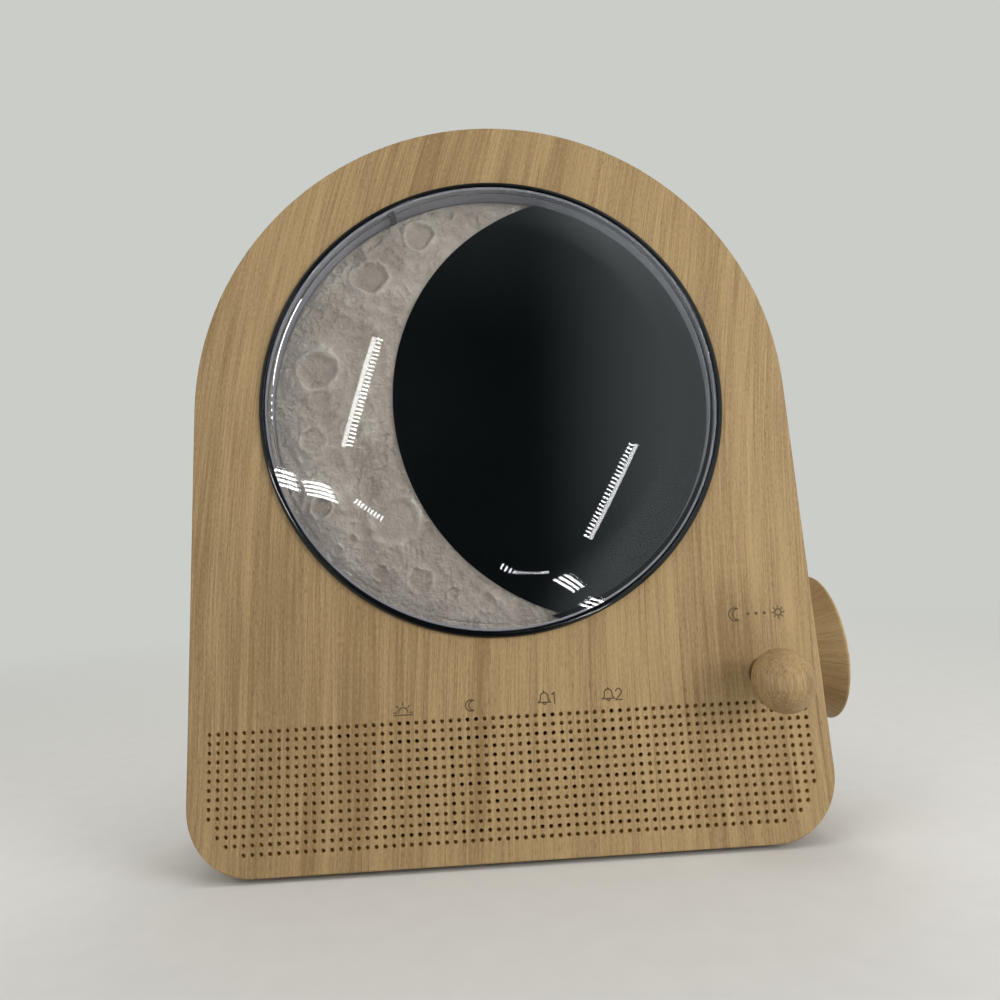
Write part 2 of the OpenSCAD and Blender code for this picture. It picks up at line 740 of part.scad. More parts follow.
// Upright power socket: shell with its tongue
module usb_inlet() color("silver") seat() {
  back = body_d - usb_short;
  plate(board_back, back) difference() {
    stadium(usb_x, usb_z, usb_w, usb_h);
    stadium(usb_x, usb_z, usb_w - 2 * usb_wall, usb_h - 2 * usb_wall);
  }
  plate(board_back, board_back + 4) stadium(usb_x, usb_z, usb_w - usb_wall, usb_h - usb_wall);
  centred_block(usb_x, usb_z, 6.6, 0.7, board_back + 3, back - 1);
}

// Speaker: soft gasket, pressed basket with four openings, cone, magnet
module speaker_gasket() color("black") seat() difference() {
  rod(speaker_x, speaker_z, speaker_front, cover_in, speaker_r, fine);
  rod(speaker_x, speaker_z, speaker_front - 1, cover_in + 1, speaker_r - 2.5, fine);
}

module speaker_basket() color("gray") seat() difference() {
  flange_back = speaker_front - cone_t;
  back = speaker_front - speaker_h;
  turned(speaker_x, speaker_z) polygon([
    [magnet_r - 3, back], [magnet_r + 1.5, back], [speaker_r - 2.5, flange_back - basket_t],
    [speaker_r, flange_back - basket_t], [speaker_r, flange_back], [speaker_r - 3.5, flange_back],
    [speaker_r - 3.5, flange_back - basket_t], [magnet_r + 0.5, back + basket_t],
    [magnet_r - 3, back + basket_t]
  ]);
  for (a = [45, 135, 225, 315])
    translate([speaker_x, flange_back - 2, speaker_z]) rotate([90, a, 0])
      translate([magnet_r + 2, -3.2, 0]) cube([speaker_r - magnet_r - 5, 6.4, speaker_h - 4.5]);
}

// Cone with its soft roll, whose foot lies between basket and gasket
module speaker_cone() color("darkslategray") seat() turned(speaker_x, speaker_z) {
  coil_r = 5;
  cone_back = speaker_front - speaker_h + basket_t + 1.2;
  roll = 1.5;
  roll_mid = speaker_r - 5.5;
  union() {
    polygon([
      [coil_r - 0.1, cone_back], [roll_mid - roll + cone_t / 2, speaker_front - cone_t],
      [roll_mid - roll + cone_t / 2, speaker_front], [coil_r - 0.1, cone_back + cone_t]
    ]);
    intersection() {
      translate([roll_mid, speaker_front]) difference() {
        circle(r = roll, $fn = fine);
        circle(r = roll - cone_t, $fn = fine);
      }
      translate([0, speaker_front - roll - 1]) square([speaker_r, roll + 1]);
    }
    translate([roll_mid + roll - cone_t / 2, speaker_front - cone_t])
      square([speaker_r - roll_mid - roll + cone_t / 2, cone_t]);
    translate([0, cone_back]) square([coil_r, cone_t]);
  }
}

// Magnet with its back plate, and the voice coil's former on its front
module speaker_magnet() color("slategray") seat() union() {
  rod(speaker_x, speaker_z, speaker_front - speaker_h - magnet_h, speaker_front - speaker_h, magnet_r, fine);
  rod(speaker_x, speaker_z, speaker_front - speaker_h, speaker_front - speaker_h + basket_t + 0.9, 4.4, fine);
}

// Ball that is pressed to snooze, bored for its stem
module snooze_ball() color("burlywood") seat() difference() {
  translate([ball_x, -ball_out, ball_z]) sphere(r = ball_r, $fn = fine);
  rod(ball_x, ball_z, -ball_out - ball_r + ball_bore, 0, stem_r);
}

// Stem with the collar that stops it behind the bush
module snooze_stem() color("tan") seat() union() {
  rod(ball_x, ball_z, -ball_out - ball_r + ball_bore, stem_end, stem_r);
  rod(ball_x, ball_z, collar_front, collar_front + collar_t, collar_r);
}

module stem_bush() color("sienna") seat() difference() {
  union() {
    rod(ball_x, ball_z, 0, panel_t, bush_r);
    rod(ball_x, ball_z, panel_t, panel_t + bush_flange_t, bush_flange_r);
  }
  rod(ball_x, ball_z, -1, panel_t + bush_flange_t + 1, stem_r + run_gap);
}

// Coil spring between the collar and the snooze board: a ring of points swept along a helix
module snooze_spring() color("silver") seat() {
  steps = 14;
  sides = 6;
  count = spring_turns * steps;
  pull = (spring_back - spring_front) / count;
  points = [
    for (k = [0:count], s = [0:sides - 1])
      let (a = 360 * k / steps, b = 360 * s / sides,
           r = spring_mean_r + spring_wire / 2 * cos(b))
      [ball_x + r * cos(a), spring_front + pull * k + spring_wire / 2 * sin(b), ball_z + r * sin(a)]
  ];
  walls = [
    for (k = [0:count - 1], s = [0:sides - 1])
      let (i = k * sides + s, j = k * sides + (s + 1) % sides)
      each [[i, j, i + sides], [j, j + sides, i + sides]]
  ];
  ends = [
    for (s = [1:sides - 2]) each [[0, s + 1, s], [count * sides, count * sides + s, count * sides + s + 1]]
  ];
  polyhedron(points = points, faces = concat(walls, ends), convexity = 8);
}

module snooze_board() color("darkgreen") seat() difference() {
  centred_block(ball_x, ball_z, 2 * snooze_board_half[0], 2 * snooze_board_half[1],
                snooze_board_front, snooze_board_front + snooze_board_t);
  for (side = [-1, 1])
    rod(ball_x + side * snooze_post_x, ball_z, snooze_board_front - 1,
        snooze_board_front + snooze_board_t + 1, snooze_pin_r);
}

module snooze_switch() color("dimgray") seat() union() {
  centred_block(ball_x, ball_z, switch_side, switch_side, snooze_board_front - switch_h, snooze_board_front);
  rod(ball_x, ball_z, snooze_board_front - switch_h - plunger_h, snooze_board_front - switch_h, plunger_r);
}

// Flared wheel with a rounded rim, hollow over the nut and bored for the shaft
module side_wheel() color("burlywood") seat() wheel_turned() difference() {
  foot = wheel_gap;
  top = wheel_gap + wheel_w;
  union() {
    polygon([
      [0, foot], [wheel_root_r, foot], [wheel_r, top - wheel_round],
      [wheel_r - wheel_round, top], [0, top]
    ]);
    translate([wheel_r - wheel_round, top - wheel_round]) circle(r = wheel_round, $fn = fine);
  }
  translate([0, foot - 1]) square([recess_r, recess_h + 1]);
  translate([0, foot]) square([shaft_r, shaft_out - foot]);
}

module wheel_shaft() color("silver") seat() wheel_turned()
  translate([0, -wall_t - 4]) square([shaft_r, wall_t + 4 + shaft_out]);

// Rotary encoder against the side wall, with its threaded neck through the wall
module encoder() color("gray") seat() difference() {
  union() {
    translate([half_w - wall_t - encoder_deep, wheel_y - encoder_half, wheel_z - encoder_half])
      cube([encoder_deep, 2 * encoder_half, 2 * encoder_half]);
    wheel_turned() translate([0, -wall_t - 1]) square([thread_r, wall_t + 1 + thread_out]);
  }
  wheel_turned() translate([0, -wall_t - 4.1]) square([shaft_r + run_gap, wall_t + 5 + thread_out]);
}

// Nut on the neck outside the wall, hidden under the wheel
module encoder_nut() color("gold") seat() translate([half_w, wheel_y, wheel_z]) rotate([0, 90, 0])
  difference() {
    cylinder(d = nut_across / cos(30), h = nut_t, $fn = 6);
    translate([0, 0, -1]) cylinder(r = thread_r, h = nut_t + 2, $fn = round_fn);
  }

module encoder_board() color("darkgreen") seat()
  translate([half_w - wall_t - encoder_deep - board_t, wheel_y - encoder_board_half[0],
             wheel_z - encoder_board_half[1]])
    cube([board_t, 2 * encoder_board_half[0], 2 * encoder_board_half[1]]);

// One rear button: cap, flange behind the cover, stem over its switch
module rear_button(x) {
  flange_back = cover_in - 0.1;
  rod(x, button_z, flange_back - button_flange_t, flange_back, button_flange_r);
  rod(x, button_z, flange_back - 0.1, body_d + button_proud, button_r);
  rod(x, button_z, board_back + rear_switch_h + rear_plunger_h + button_travel + 0.05, flange_back - 0.1,
      button_stem_r);
}

module time_button() color("wheat") seat() rear_button(button_x[3]);

module alarm_one_button() color("wheat") seat() rear_button(button_x[2]);

module alarm_two_button() color("wheat") seat() rear_button(button_x[1]);

module sound_button() color("wheat") seat() rear_button(button_x[0]);

module button_switches() color("dimgray") seat()
  for (x = button_x) {
    centred_block(x, button_z, rear_switch_side, rear_switch_side, board_back, board_back + rear_switch_h);
    rod(x, button_z, board_back + rear_switch_h, board_back + rear_switch_h + rear_plunger_h, rear_plunger_r);
  }

// Two wires from the lamp board, out of the housing and down to the main board's plug
module lamp_lead() color("firebrick") seat() {
  out_z = arch_z + lead_out[1];
  turn_y = board_front - lamp_plug[4] / 2;
  for (side = [-1, 1]) {
    x = lead_out[0] + side * wire_r * 1.25;
    rod(x, out_z, cup_back - cup_t - board_t, turn_y, wire_r, small_fn);
    translate([x, turn_y, out_z]) sphere(r = wire_r, $fn = small_fn);
    translate([x, turn_y, lamp_plug[1] + lamp_plug[3] / 2])
      cylinder(r = wire_r, h = out_z - lamp_plug[1] - lamp_plug[3] / 2, $fn = small_fn);
  }
}

// Two wires from the speaker's basket, forward and across to the main board's plug
module speaker_lead() color("black") seat() {
  from_x = speaker_x + speaker_r - 1.2;
  turn_y = board_front - speaker_plug[4] / 2;
  to_x = speaker_plug[0] - speaker_plug[2] / 2;
  for (side = [-1, 1]) {
    z = speaker_plug[1] + side * wire_r * 1.5;
    rod(from_x, z, turn_y, speaker_front - cone_t - basket_t, wire_r, small_fn);
    translate([from_x, turn_y, z]) sphere(r = wire_r, $fn = small_fn);
    translate([from_x, turn_y, z]) rotate([0, 90, 0])
      cylinder(r = wire_r, h = to_x - from_x, $fn = small_fn);
  }
}

front_panel();
body_shell();
rear_cover();
cover_screws();
base_pad();
bezel_ring();
dome_lens();
lens_tray();
moon_diffuser();
moon_mask();
lamp_housing();
lamp_board();
lamp_leds();
lamp_screws();
display_film();
light_baffle();
display_board();
display_leds();
display_screws();
main_board();
board_parts();
board_screws();
ribbon_cable();
cell_holder();
backup_cell();
usb_inlet();
speaker_gasket();
speaker_basket();
speaker_cone();
speaker_magnet();
snooze_ball();
snooze_stem();
stem_bush();
snooze_spring();
snooze_board();
snooze_switch();
side_wheel();
wheel_shaft();
encoder();
encoder_nut();
encoder_board();
time_button();
alarm_one_button();
alarm_two_button();
sound_button();
button_switches();
lamp_lead();
speaker_lead();
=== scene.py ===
import math

import bmesh
import bpy
from mathutils import Matrix, Vector, noise


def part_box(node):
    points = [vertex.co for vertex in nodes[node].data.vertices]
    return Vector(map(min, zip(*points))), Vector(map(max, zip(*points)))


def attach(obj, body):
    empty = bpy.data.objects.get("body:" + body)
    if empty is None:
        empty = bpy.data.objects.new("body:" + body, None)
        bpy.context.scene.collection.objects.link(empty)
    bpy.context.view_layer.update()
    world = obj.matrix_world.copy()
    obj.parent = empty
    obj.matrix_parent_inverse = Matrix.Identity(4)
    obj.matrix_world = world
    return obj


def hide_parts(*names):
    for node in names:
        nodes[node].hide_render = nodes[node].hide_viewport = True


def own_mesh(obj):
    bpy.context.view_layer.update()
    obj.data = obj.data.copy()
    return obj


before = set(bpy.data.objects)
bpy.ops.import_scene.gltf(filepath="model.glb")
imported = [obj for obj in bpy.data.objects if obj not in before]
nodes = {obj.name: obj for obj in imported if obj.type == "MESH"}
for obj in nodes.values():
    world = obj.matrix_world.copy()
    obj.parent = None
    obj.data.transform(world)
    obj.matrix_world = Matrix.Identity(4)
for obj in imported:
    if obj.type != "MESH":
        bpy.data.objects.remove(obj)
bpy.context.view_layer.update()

scene = bpy.context.scene
mm = 0.001

# the case's own measures, read off the frame: x to the right, depth behind the face, height
panelLow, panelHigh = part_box("front_panel")
faceY = panelLow.y
caseFoot = panelLow.z
halfWidth = panelHigh.x
ringLow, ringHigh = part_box("bezel_ring")
archZ = (ringLow.z + ringHigh.z) / 2
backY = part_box("rear_cover")[1].y
wheelLow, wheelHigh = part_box("side_wheel")
wheelAxis = ((wheelLow.y + wheelHigh.y) / 2, (wheelLow.z + wheelHigh.z) / 2)


def casePoint(x, depth, height):
    return Vector((x * mm, faceY + depth * mm, caseFoot + height * mm))


def polar(radius, angle):
    return radius * math.cos(angle), radius * math.sin(angle)


def newMesh(name, verts, faces, smooth=True):
    mesh = bpy.data.meshes.new(name)
    mesh.from_pydata([tuple(v) for v in verts], [], [tuple(f) for f in faces])
    mesh.validate()
    if smooth:
        mesh.polygons.foreach_set("use_smooth", [True] * len(mesh.polygons))
    obj = bpy.data.objects.new(name, mesh)
    scene.collection.objects.link(obj)
    return obj


def turnOutward(obj, sharpDegrees=None):
    # with an angle, also merged and smooth, but for a crease where two faces meet more steeply
    work = bmesh.new()
    work.from_mesh(obj.data)
    if sharpDegrees:
        bmesh.ops.remove_doubles(work, verts=work.verts, dist=1e-7)
    bmesh.ops.recalc_face_normals(work, faces=work.faces)
    if sharpDegrees:
        limit = math.radians(sharpDegrees)
        for edge in work.edges:
            edge.smooth = not (edge.is_manifold and edge.calc_face_angle(0) > limit)
        for face in work.faces:
            face.smooth = True
    work.to_mesh(obj.data)
    work.free()


def turnedMesh(name, outline, centre, steps=256, closed=True, sideways=False):
    # outline is a list of (radius, distance) in millimetres about an axis from front to back, or to the right
    verts, faces = [], []
    for radius, far in outline:
        for k in range(steps):
            u, v = (value * mm for value in polar(radius, 2 * math.pi * k / steps))
            verts.append(centre + (Vector((far * mm, u, v)) if sideways else Vector((u, far * mm, v))))
    count = len(outline)
    for i in range(count if closed else count - 1):
        j = (i + 1) % count
        for k in range(steps):
            m = (k + 1) % steps
            faces.append((i * steps + k, i * steps + m, j * steps + m, j * steps + k))
    if not closed:
        faces.append(tuple(range(steps)))
        faces.append(tuple(range((count - 1) * steps, count * steps)))
    return newMesh(name, verts, faces)


def finishPiece(obj, look, body, replaced=()):
    obj.data.materials.clear()
    obj.data.materials.append(finish[look])
    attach(obj, body)
    if replaced:
        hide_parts(*replaced)
    return obj


def srgb(text):
    values = [int(text[i:i + 2], 16) / 255 for i in (0, 2, 4)]
    return tuple(v / 12.92 if v <= 0.04045 else ((v + 0.055) / 1.055) ** 2.4 for v in values)


# building blocks for node trees
socketKinds = {type(None): "NodeSocketVector", float: "NodeSocketFloat", tuple: "NodeSocketColor"}


def newGroup(name, inputs):
    # inputs by label with their first values; each group puts out a colour, a roughness and a height
    group = bpy.data.node_groups.new(name, "ShaderNodeTree")
    for label, value in inputs.items():
        sock = group.interface.new_socket(name=label, in_out="INPUT", socket_type=socketKinds[type(value)])
        if value is not None:
            sock.default_value = value
    for label, kind in (("Color", tuple), ("Roughness", float), ("Height", float)):
        group.interface.new_socket(name=label, in_out="OUTPUT", socket_type=socketKinds[kind])
    return group, group.nodes.new("NodeGroupInput"), group.nodes.new("NodeGroupOutput")


def feed(node, inputs):
    # each input gets a plain value, another node's output, or a node, which stands for its first output
    for label, value in inputs.items():
        sock = node.inputs[label]
        if isinstance(value, (bpy.types.Node, bpy.types.NodeSocket)):
            node.id_data.links.new(value.outputs[0] if isinstance(value, bpy.types.Node) else value, sock)
        else:
            opaque = isinstance(value, tuple) and len(value) == 3 and sock.type == "RGBA"
            sock.default_value = (*value, 1) if opaque else value


def newNode(kind, inputs, tree=None, **settings):
    # in the tree that is given, or else in the one that its inputs come from
    tree = tree or next(value.id_data for value in inputs.values() if hasattr(value, "id_data"))
    node = tree.nodes.new(kind)
    for label, value in settings.items():
        setattr(node, label, value)
    feed(node, inputs)
    return node


def mathCall(operation):
    def build(a, b=None, clamp=False):
        inputs = {0: a} if b is None else {0: a, 1: b}
        return newNode("ShaderNodeMath", inputs, operation=operation, use_clamp=clamp)
    return build


plus, minus, times, over = (mathCall(name) for name in ("ADD", "SUBTRACT", "MULTIPLY", "DIVIDE"))
larger, smaller = mathCall("MAXIMUM"), mathCall("MINIMUM")
above, below = mathCall("GREATER_THAN"), mathCall("LESS_THAN")
sizeOf, signOf, turnOf = mathCall("ABSOLUTE"), mathCall("SIGN"), mathCall("ARCTAN2")
root, sine = mathCall("SQRT"), mathCall("SINE")


def noiseNode(vector, scale, detail=2.0, rough=0.5):
    inputs = {"Vector": vector, "Scale": scale, "Detail": detail, "Roughness": rough}
    return newNode("ShaderNodeTexNoise", inputs)


def rampNode(fac, stops):
    node = newNode("ShaderNodeValToRGB", {"Fac": fac})
    ramp = node.color_ramp
    ramp.elements[0].position, ramp.elements[0].color = stops[0][0], (*stops[0][1], 1)
    ramp.elements[1].position, ramp.elements[1].color = stops[-1][0], (*stops[-1][1], 1)
    for place, colour in stops[1:-1]:
        ramp.elements.new(place).color = (*colour, 1)
    return node


def mapRange(value, fromLow, fromHigh, toLow, toHigh, smooth=False):
    inputs = {"Value": value, "From Min": fromLow, "From Max": fromHigh, "To Min": toLow, "To Max": toHigh}
    return newNode("ShaderNodeMapRange", inputs, interpolation_type="SMOOTHSTEP" if smooth else "LINEAR")


def mixColour(fac, a, b):
    return newNode("ShaderNodeMix", {0: fac, 6: a, 7: b}, data_type="RGBA").outputs[2]


def mixVector(fac, a, b):
    return newNode("ShaderNodeMix", {0: fac, 4: a, 5: b}, data_type="VECTOR").outputs[1]


def joined(x, y, z):
    return newNode("ShaderNodeCombineXYZ", {"X": x, "Y": y, "Z": z})


def split(vector):
    return list(newNode("ShaderNodeSeparateXYZ", {"Vector": vector}).outputs)


def newMaterial(name):
    material = bpy.data.materials.new(name)
    material.use_nodes = True
    coords = newNode("ShaderNodeTexCoord", {}, material.node_tree)
    return material, material.node_tree.nodes["Principled BSDF"], coords.outputs


def bumpInto(shader, height, strength, distance):
    node = newNode("ShaderNodeBump", {"Strength": strength, "Distance": distance, "Height": height})
    feed(shader, {"Normal": node})
    return node


woodLook = {
    "pale": srgb("AB9167"),
    "middle": srgb("99805A"),
    "deep": srgb("846A46"),
    "pore": srgb("5E492C"),
    "lineDepth": 0.42,      # how dark the long growth lines get
    "poreDepth": 0.42,      # how dark the short pores get
    "bend": 0.022,          # how far the lines wander, in metres
    "leanFrom": 0.03, "lean": 0.95,     # height where the lines start to lean, and how fast they do
    "tones": (0.41, 0.5, 0.59),         # where the deep, middle and pale colours lie in the noise
    # noise drawn out along the lines: its scale along against across, scale, detail, roughness
    "drift": (0.62, 9.5, 1.2, 0.4),     # bends the lines
    "fibre": (0.022, 2100.0, 2.0, 0.65),
    "speck": (0.3, 2800.0, 1.0, 0.6),
    "streak": (0.016, 380.0, 3.0, 0.6),
    "band": (0.06, 85.0, 2.0, 0.5),
    "cloud": (0.4, 17.0, 2.0, 0.5),
    "shares": {"fibre": 0.3, "speck": 0.2, "streak": 0.24, "band": 0.15, "cloud": 0.11},
    "growth": (0.014, 150.0, 0.5, 0.5),
    "growthSharp": 66.0, "growthReach": 13.0,       # how thin the lines are, how close the pores lie
    "patches": (0.3, 38.0, 1.0, 0.5),   # where the growth lines show
    "dashes": (0.12, 3600.0, 0.0, 0.5), "dashFrom": 0.77, "dashFromNear": 0.63, "dashSharp": 16.0,
    "shine": 0.32,
    "bump": (0.25, 0.00004),            # strength, and height in metres
}


def drawnOut(vector, stretch, scale, detail, rough):
    mapping = newNode("ShaderNodeMapping", {"Vector": vector, "Scale": (1, 1, stretch)})
    return noiseNode(mapping, scale, detail, rough)


def makeWoodGroup():
    # Wrap 0 runs the lines up the piece, Wrap 1 runs them along the case's outline
    look = woodLook
    group, start, end = newGroup("woodFilm", {"Vector": None, "Wrap": 0.0, "Tone": 0.0})
    vector, wrap, tone = start.outputs["Vector"], start.outputs["Wrap"], start.outputs["Tone"]
    x, y, z = split(vector)
    rise = minus(z, archZ)
    turn = turnOf(larger(rise, 0.0), x)
    fall = times(smaller(rise, 0.0), signOf(x))
    along = plus(times(turn, halfWidth), fall)
    place = mixVector(wrap, vector, joined(y, 0.05, along))
    px, py, pz = split(place)
    # slow noise bends the lines sideways
    drift = minus(drawnOut(place, *look["drift"]), 0.5)
    px = plus(px, times(drift, look["bend"]))
    # on the front they lean to the right, more so towards the top
    high = larger(minus(pz, look["leanFrom"]), 0.0)
    lean = times(times(times(high, high), look["lean"]), minus(1.0, wrap))
    bent = joined(minus(px, lean), py, pz)
    layers = {}
    for name, share in look["shares"].items():
        layers[name] = drawnOut(place if name == "cloud" else bent, *look[name])
        tone = plus(tone, times(layers[name], share))
    colour = rampNode(tone, list(zip(look["tones"], (look["deep"], look["middle"], look["pale"]))))
    # long thin growth lines, stronger in some parts than in others
    away = sizeOf(minus(drawnOut(bent, *look["growth"]), 0.5))
    line = minus(1.0, times(away, look["growthSharp"]), True)
    near = minus(1.0, times(away, look["growthReach"]), True)
    where = mapRange(drawnOut(place, *look["patches"]), 0.46, 0.62, 0.0, 1.0)
    line = times(times(line, where), look["lineDepth"])
    colour = mixColour(line, colour, look["pore"])
    # pores: short dark dashes, most of them along the growth lines
    edge = mapRange(near, 0.0, 1.0, look["dashFrom"], look["dashFromNear"])
    pore = times(minus(drawnOut(bent, *look["dashes"]), edge), look["dashSharp"], True)
    pore = times(pore, look["poreDepth"])
    colour = mixColour(pore, colour, look["pore"])
    rough = mapRange(layers["fibre"], 0.3, 0.7, 0.52, 0.42)
    height = minus(times(layers["fibre"], 0.4), plus(pore, line))
    feed(end, {"Color": colour, "Roughness": rough, "Height": height})
    return group


woodGroup = makeWoodGroup()


def woodMaterial(name, vectorFrom, wrapFrom=None, tone=0.0, edgeFrom=None):
    material, shader, coords = newMaterial(name)
    film = newNode("ShaderNodeGroup", {}, material.node_tree, node_tree=woodGroup)
    feed(film, {"Tone": tone, "Vector": vectorFrom(coords)})
    if wrapFrom:
        feed(film, {"Wrap": wrapFrom(coords)})
    feed(shader, {"Base Color": film.outputs["Color"], "Roughness": film.outputs["Roughness"],
                  "Specular IOR Level": woodLook["shine"]})
    bump = bumpInto(shader, film.outputs["Height"], *woodLook["bump"])
    if edgeFrom:
        # the film's edges are a little rounded
        soft = newNode("ShaderNodeBevel", {"Radius": edgeFrom(coords)}, material.node_tree, samples=4)
        feed(bump, {"Normal": soft})
    return material, shader, coords, film


def plainPlace(coords):
    return coords["Object"]


# the ball's film is another stretch of the pattern, a little turned
ballGrain = {"Location": (0.21, 0.05, 0.0), "Rotation": (math.radians(10), math.radians(-9), 0.0),
             "Scale": (1.3, 1.3, 0.42)}
# the wheel's lines: the radii where they start and where they are as wide as elsewhere, in metres
wheelGrain = {"eye": 0.0005, "full": 0.038}


def ballPlace(coords):
    return newNode("ShaderNodeMapping", {"Vector": coords["Object"], **ballGrain})


def rimWrap(coords):
    # the panel's own rim takes the side's run of the lines
    facing = sizeOf(split(coords["Normal"])[1])
    return below(facing, 0.5)


fieldLook = {
    "bore": srgb("C2A36B"),
    "boreDeep": srgb("AF9058"),
    "softEdge": 0.00045,    # rounding of the face's outer edge, in metres
    "ballShadowX": 55.0, "ballShadowZ": 46.0, "ballShadowReach": 11.0, "ballShadowTone": -0.075,    # painted shadow of the ball: a darker patch beside it, mm
    "ballShadowFlat": 0.6,        # its width against its height
    "skin": 0.00005,        # how far behind the face a bore's colour starts, in metres
    # the field's outline in mm, with its two rounded corners, and how far outside it the edges stay sharp
    "low": 3.2, "high": 34.0, "side": 71.6, "cornerZ": 15.3, "cornerX": 59.7, "cornerR": 12.6, "margin": 1.0,
}


def faceEdge(coords):
    # rounded at the outline, sharp at the holes
    look = fieldLook
    x, z = split(coords["Object"])[::2]
    field = below(z, caseFoot + (look["high"] + look["margin"]) * mm)
    field = times(field, above(z, caseFoot + (look["low"] - look["margin"]) * mm))
    field = times(field, below(sizeOf(x), (look["side"] + look["margin"]) * mm))
    return times(minus(1.0, field), look["softEdge"])


def squares(a, b):
    return plus(times(a, a), times(b, b))


def makePanelMaterial():
    material, shader, coords, film = woodMaterial("woodFilmFront", plainPlace, rimWrap, 0.0, faceEdge)
    look = fieldLook
    x, y, z = split(coords["Object"])
    across = sizeOf(x)
    dx = larger(minus(across, look["cornerX"] * mm), 0.0)
    dz = larger(minus(caseFoot + look["cornerZ"] * mm, z), 0.0)
    reach = squares(dx, dz)
    mask = above(y, faceY + look["skin"])
    for part in (
        above(z, caseFoot + look["low"] * mm),
        below(z, caseFoot + look["high"] * mm),
        below(across, look["side"] * mm),
        below(reach, (look["cornerR"] * mm) ** 2),
    ):
        mask = times(mask, part)
    patch = noiseNode(coords["Object"], 420.0, 1.0)
    bore = mixColour(mapRange(patch, 0.35, 0.65, 0.0, 1.0), look["bore"], look["boreDeep"])
    feed(shader, {"Base Color": mixColour(mask, film.outputs["Color"], bore)})
    # painted shadow of the ball: the film is darkened towards a spot beside the ball
    dx = minus(x, look["ballShadowX"] * mm)
    dz = times(minus(z, caseFoot + look["ballShadowZ"] * mm), look["ballShadowFlat"])
    away = root(squares(dx, dz))
    ballShadow = mapRange(away, 0.0, look["ballShadowReach"] * mm, look["ballShadowTone"], 0.0, True)
    feed(film, {"Tone": ballShadow})
    return material


def wheelPlace(coords):
    # lines fan out across the flare, and run straight over the flat end
    x, y, z = split(coords["Object"])
    y, z = minus(y, wheelAxis[0]), minus(z, wheelAxis[1])
    reach = times(larger(root(squares(y, z)), wheelGrain["eye"]), 1 / wheelGrain["full"])
    fan = joined(over(y, reach), over(z, reach), x)
    end = above(sizeOf(split(coords["Normal"])[0]), 0.9)
    return mixVector(end, fan, joined(y, 0.2, z))


finish = {"woodFront": makePanelMaterial(), "woodBall": woodMaterial("woodFilmBall", ballPlace)[0]}
finish["woodSide"] = woodMaterial("woodFilmSide", plainPlace, lambda coords: 1.0, 0.01,
                                  lambda coords: fieldLook["softEdge"])[0]
# painted light: the wheel takes a paler copy of the film (Tone 0.06), for light bounced up from below
finish["woodWheel"] = woodMaterial("woodFilmWheel", wheelPlace, None, 0.06)[0]
print("wood film ready")

# name: colour, roughness, grain per metre, grain depth, metallic
finishLooks = {
    "caseBrown": ("9C865F", 0.55, 2600.0, 0.25, 0.0),
    "keyBrown": ("7F6A49", 0.48, 2600.0, 0.15, 0.0),
    "padBlack": ("26272A", 0.85, 1800.0, 0.4, 0.0),
    "trayGrey": ("A6A5AF", 0.34, 900.0, 0.05, 0.0),
    "keyGrey": ("5A585F", 0.4, 900.0, 0.05, 0.0),
    "housingWhite": ("D8D8D4", 0.5, 1500.0, 0.15, 0.0),
    "baffleBlack": ("1C1712", 0.6, 1500.0, 0.15, 0.0),
    "filmBlack": ("14110C", 0.3, 700.0, 0.05, 0.0),
    "boardGreen": ("1E5A3A", 0.4, 700.0, 0.05, 0.0),
    "partBlack": ("1F2022", 0.5, 1600.0, 0.15, 0.0),
    "bushBrown": ("5E4728", 0.6, 1600.0, 0.15, 0.0),
    "wireRed": ("8E2A22", 0.45, 900.0, 0.05, 0.0),
    "coneBlack": ("222326", 0.9, 1200.0, 0.5, 0.0),
    "chipYellow": ("D9C46A", 0.35, 900.0, 0.05, 0.0),
    "ribbonGrey": ("BFC0BC", 0.45, 900.0, 0.05, 0.0),
    "printInk": ("554430", 0.6, 1600.0, 0.1, 0.0),
    "dotSmoke": ("3E3020", 0.35, 900.0, 0.05, 0.0),
    "steel": ("B4B3AE", 0.32, 1400.0, 0.1, 1.0),
    "screwSteel": ("8A8883", 0.38, 1400.0, 0.1, 1.0),
    "brass": ("C2A25E", 0.35, 1400.0, 0.1, 1.0),
    "ferrite": ("55565A", 0.6, 1400.0, 0.1, 1.0),
}


def makeGrainGroup():
    inputs = {"Vector": None, "Color": (0.5, 0.5, 0.5, 1), "Rough": 0.5, "Grain": 1500.0}
    group, start, end = newGroup("mouldedGrain", inputs)
    vector = start.outputs["Vector"]
    fine = noiseNode(vector, start.outputs["Grain"])
    broad = noiseNode(vector, 45.0, 3.0)
    inputs = {0: start.outputs["Color"], "Scale": mapRange(broad, 0.3, 0.7, 0.96, 1.03)}
    bright = newNode("ShaderNodeVectorMath", inputs, operation="SCALE")
    rough = plus(start.outputs["Rough"], mapRange(broad, 0.3, 0.7, -0.04, 0.05))
    feed(end, {"Color": bright, "Roughness": rough, "Height": fine})
    return group


grainGroup = makeGrainGroup()


def plainMaterial(name, colour, rough, scale, depth, metal):
    material, shader, coords = newMaterial(name)
    grain = newNode("ShaderNodeGroup", {}, material.node_tree, node_tree=grainGroup)
    feed(grain, {"Vector": coords["Object"], "Color": srgb(colour), "Rough": rough, "Grain": scale})
    feed(shader, {"Base Color": grain.outputs["Color"], "Roughness": grain.outputs["Roughness"],
                  "Metallic": metal})
    bumpInto(shader, grain.outputs["Height"], depth, 0.00005)
    return material


finish.update({name: plainMaterial(name, *look) for name, look in finishLooks.items()})


glossLook = {
    "smear": (60.0, 4.0, 0.6), "smearRough": 0.05,      # scale, detail, roughness; what a smear adds
    "dust": srgb("8A8F90"), "dustScale": 2200.0, "dustFrom": 0.8, "dustSharp": 6.0, "dustShare": 0.1,
}


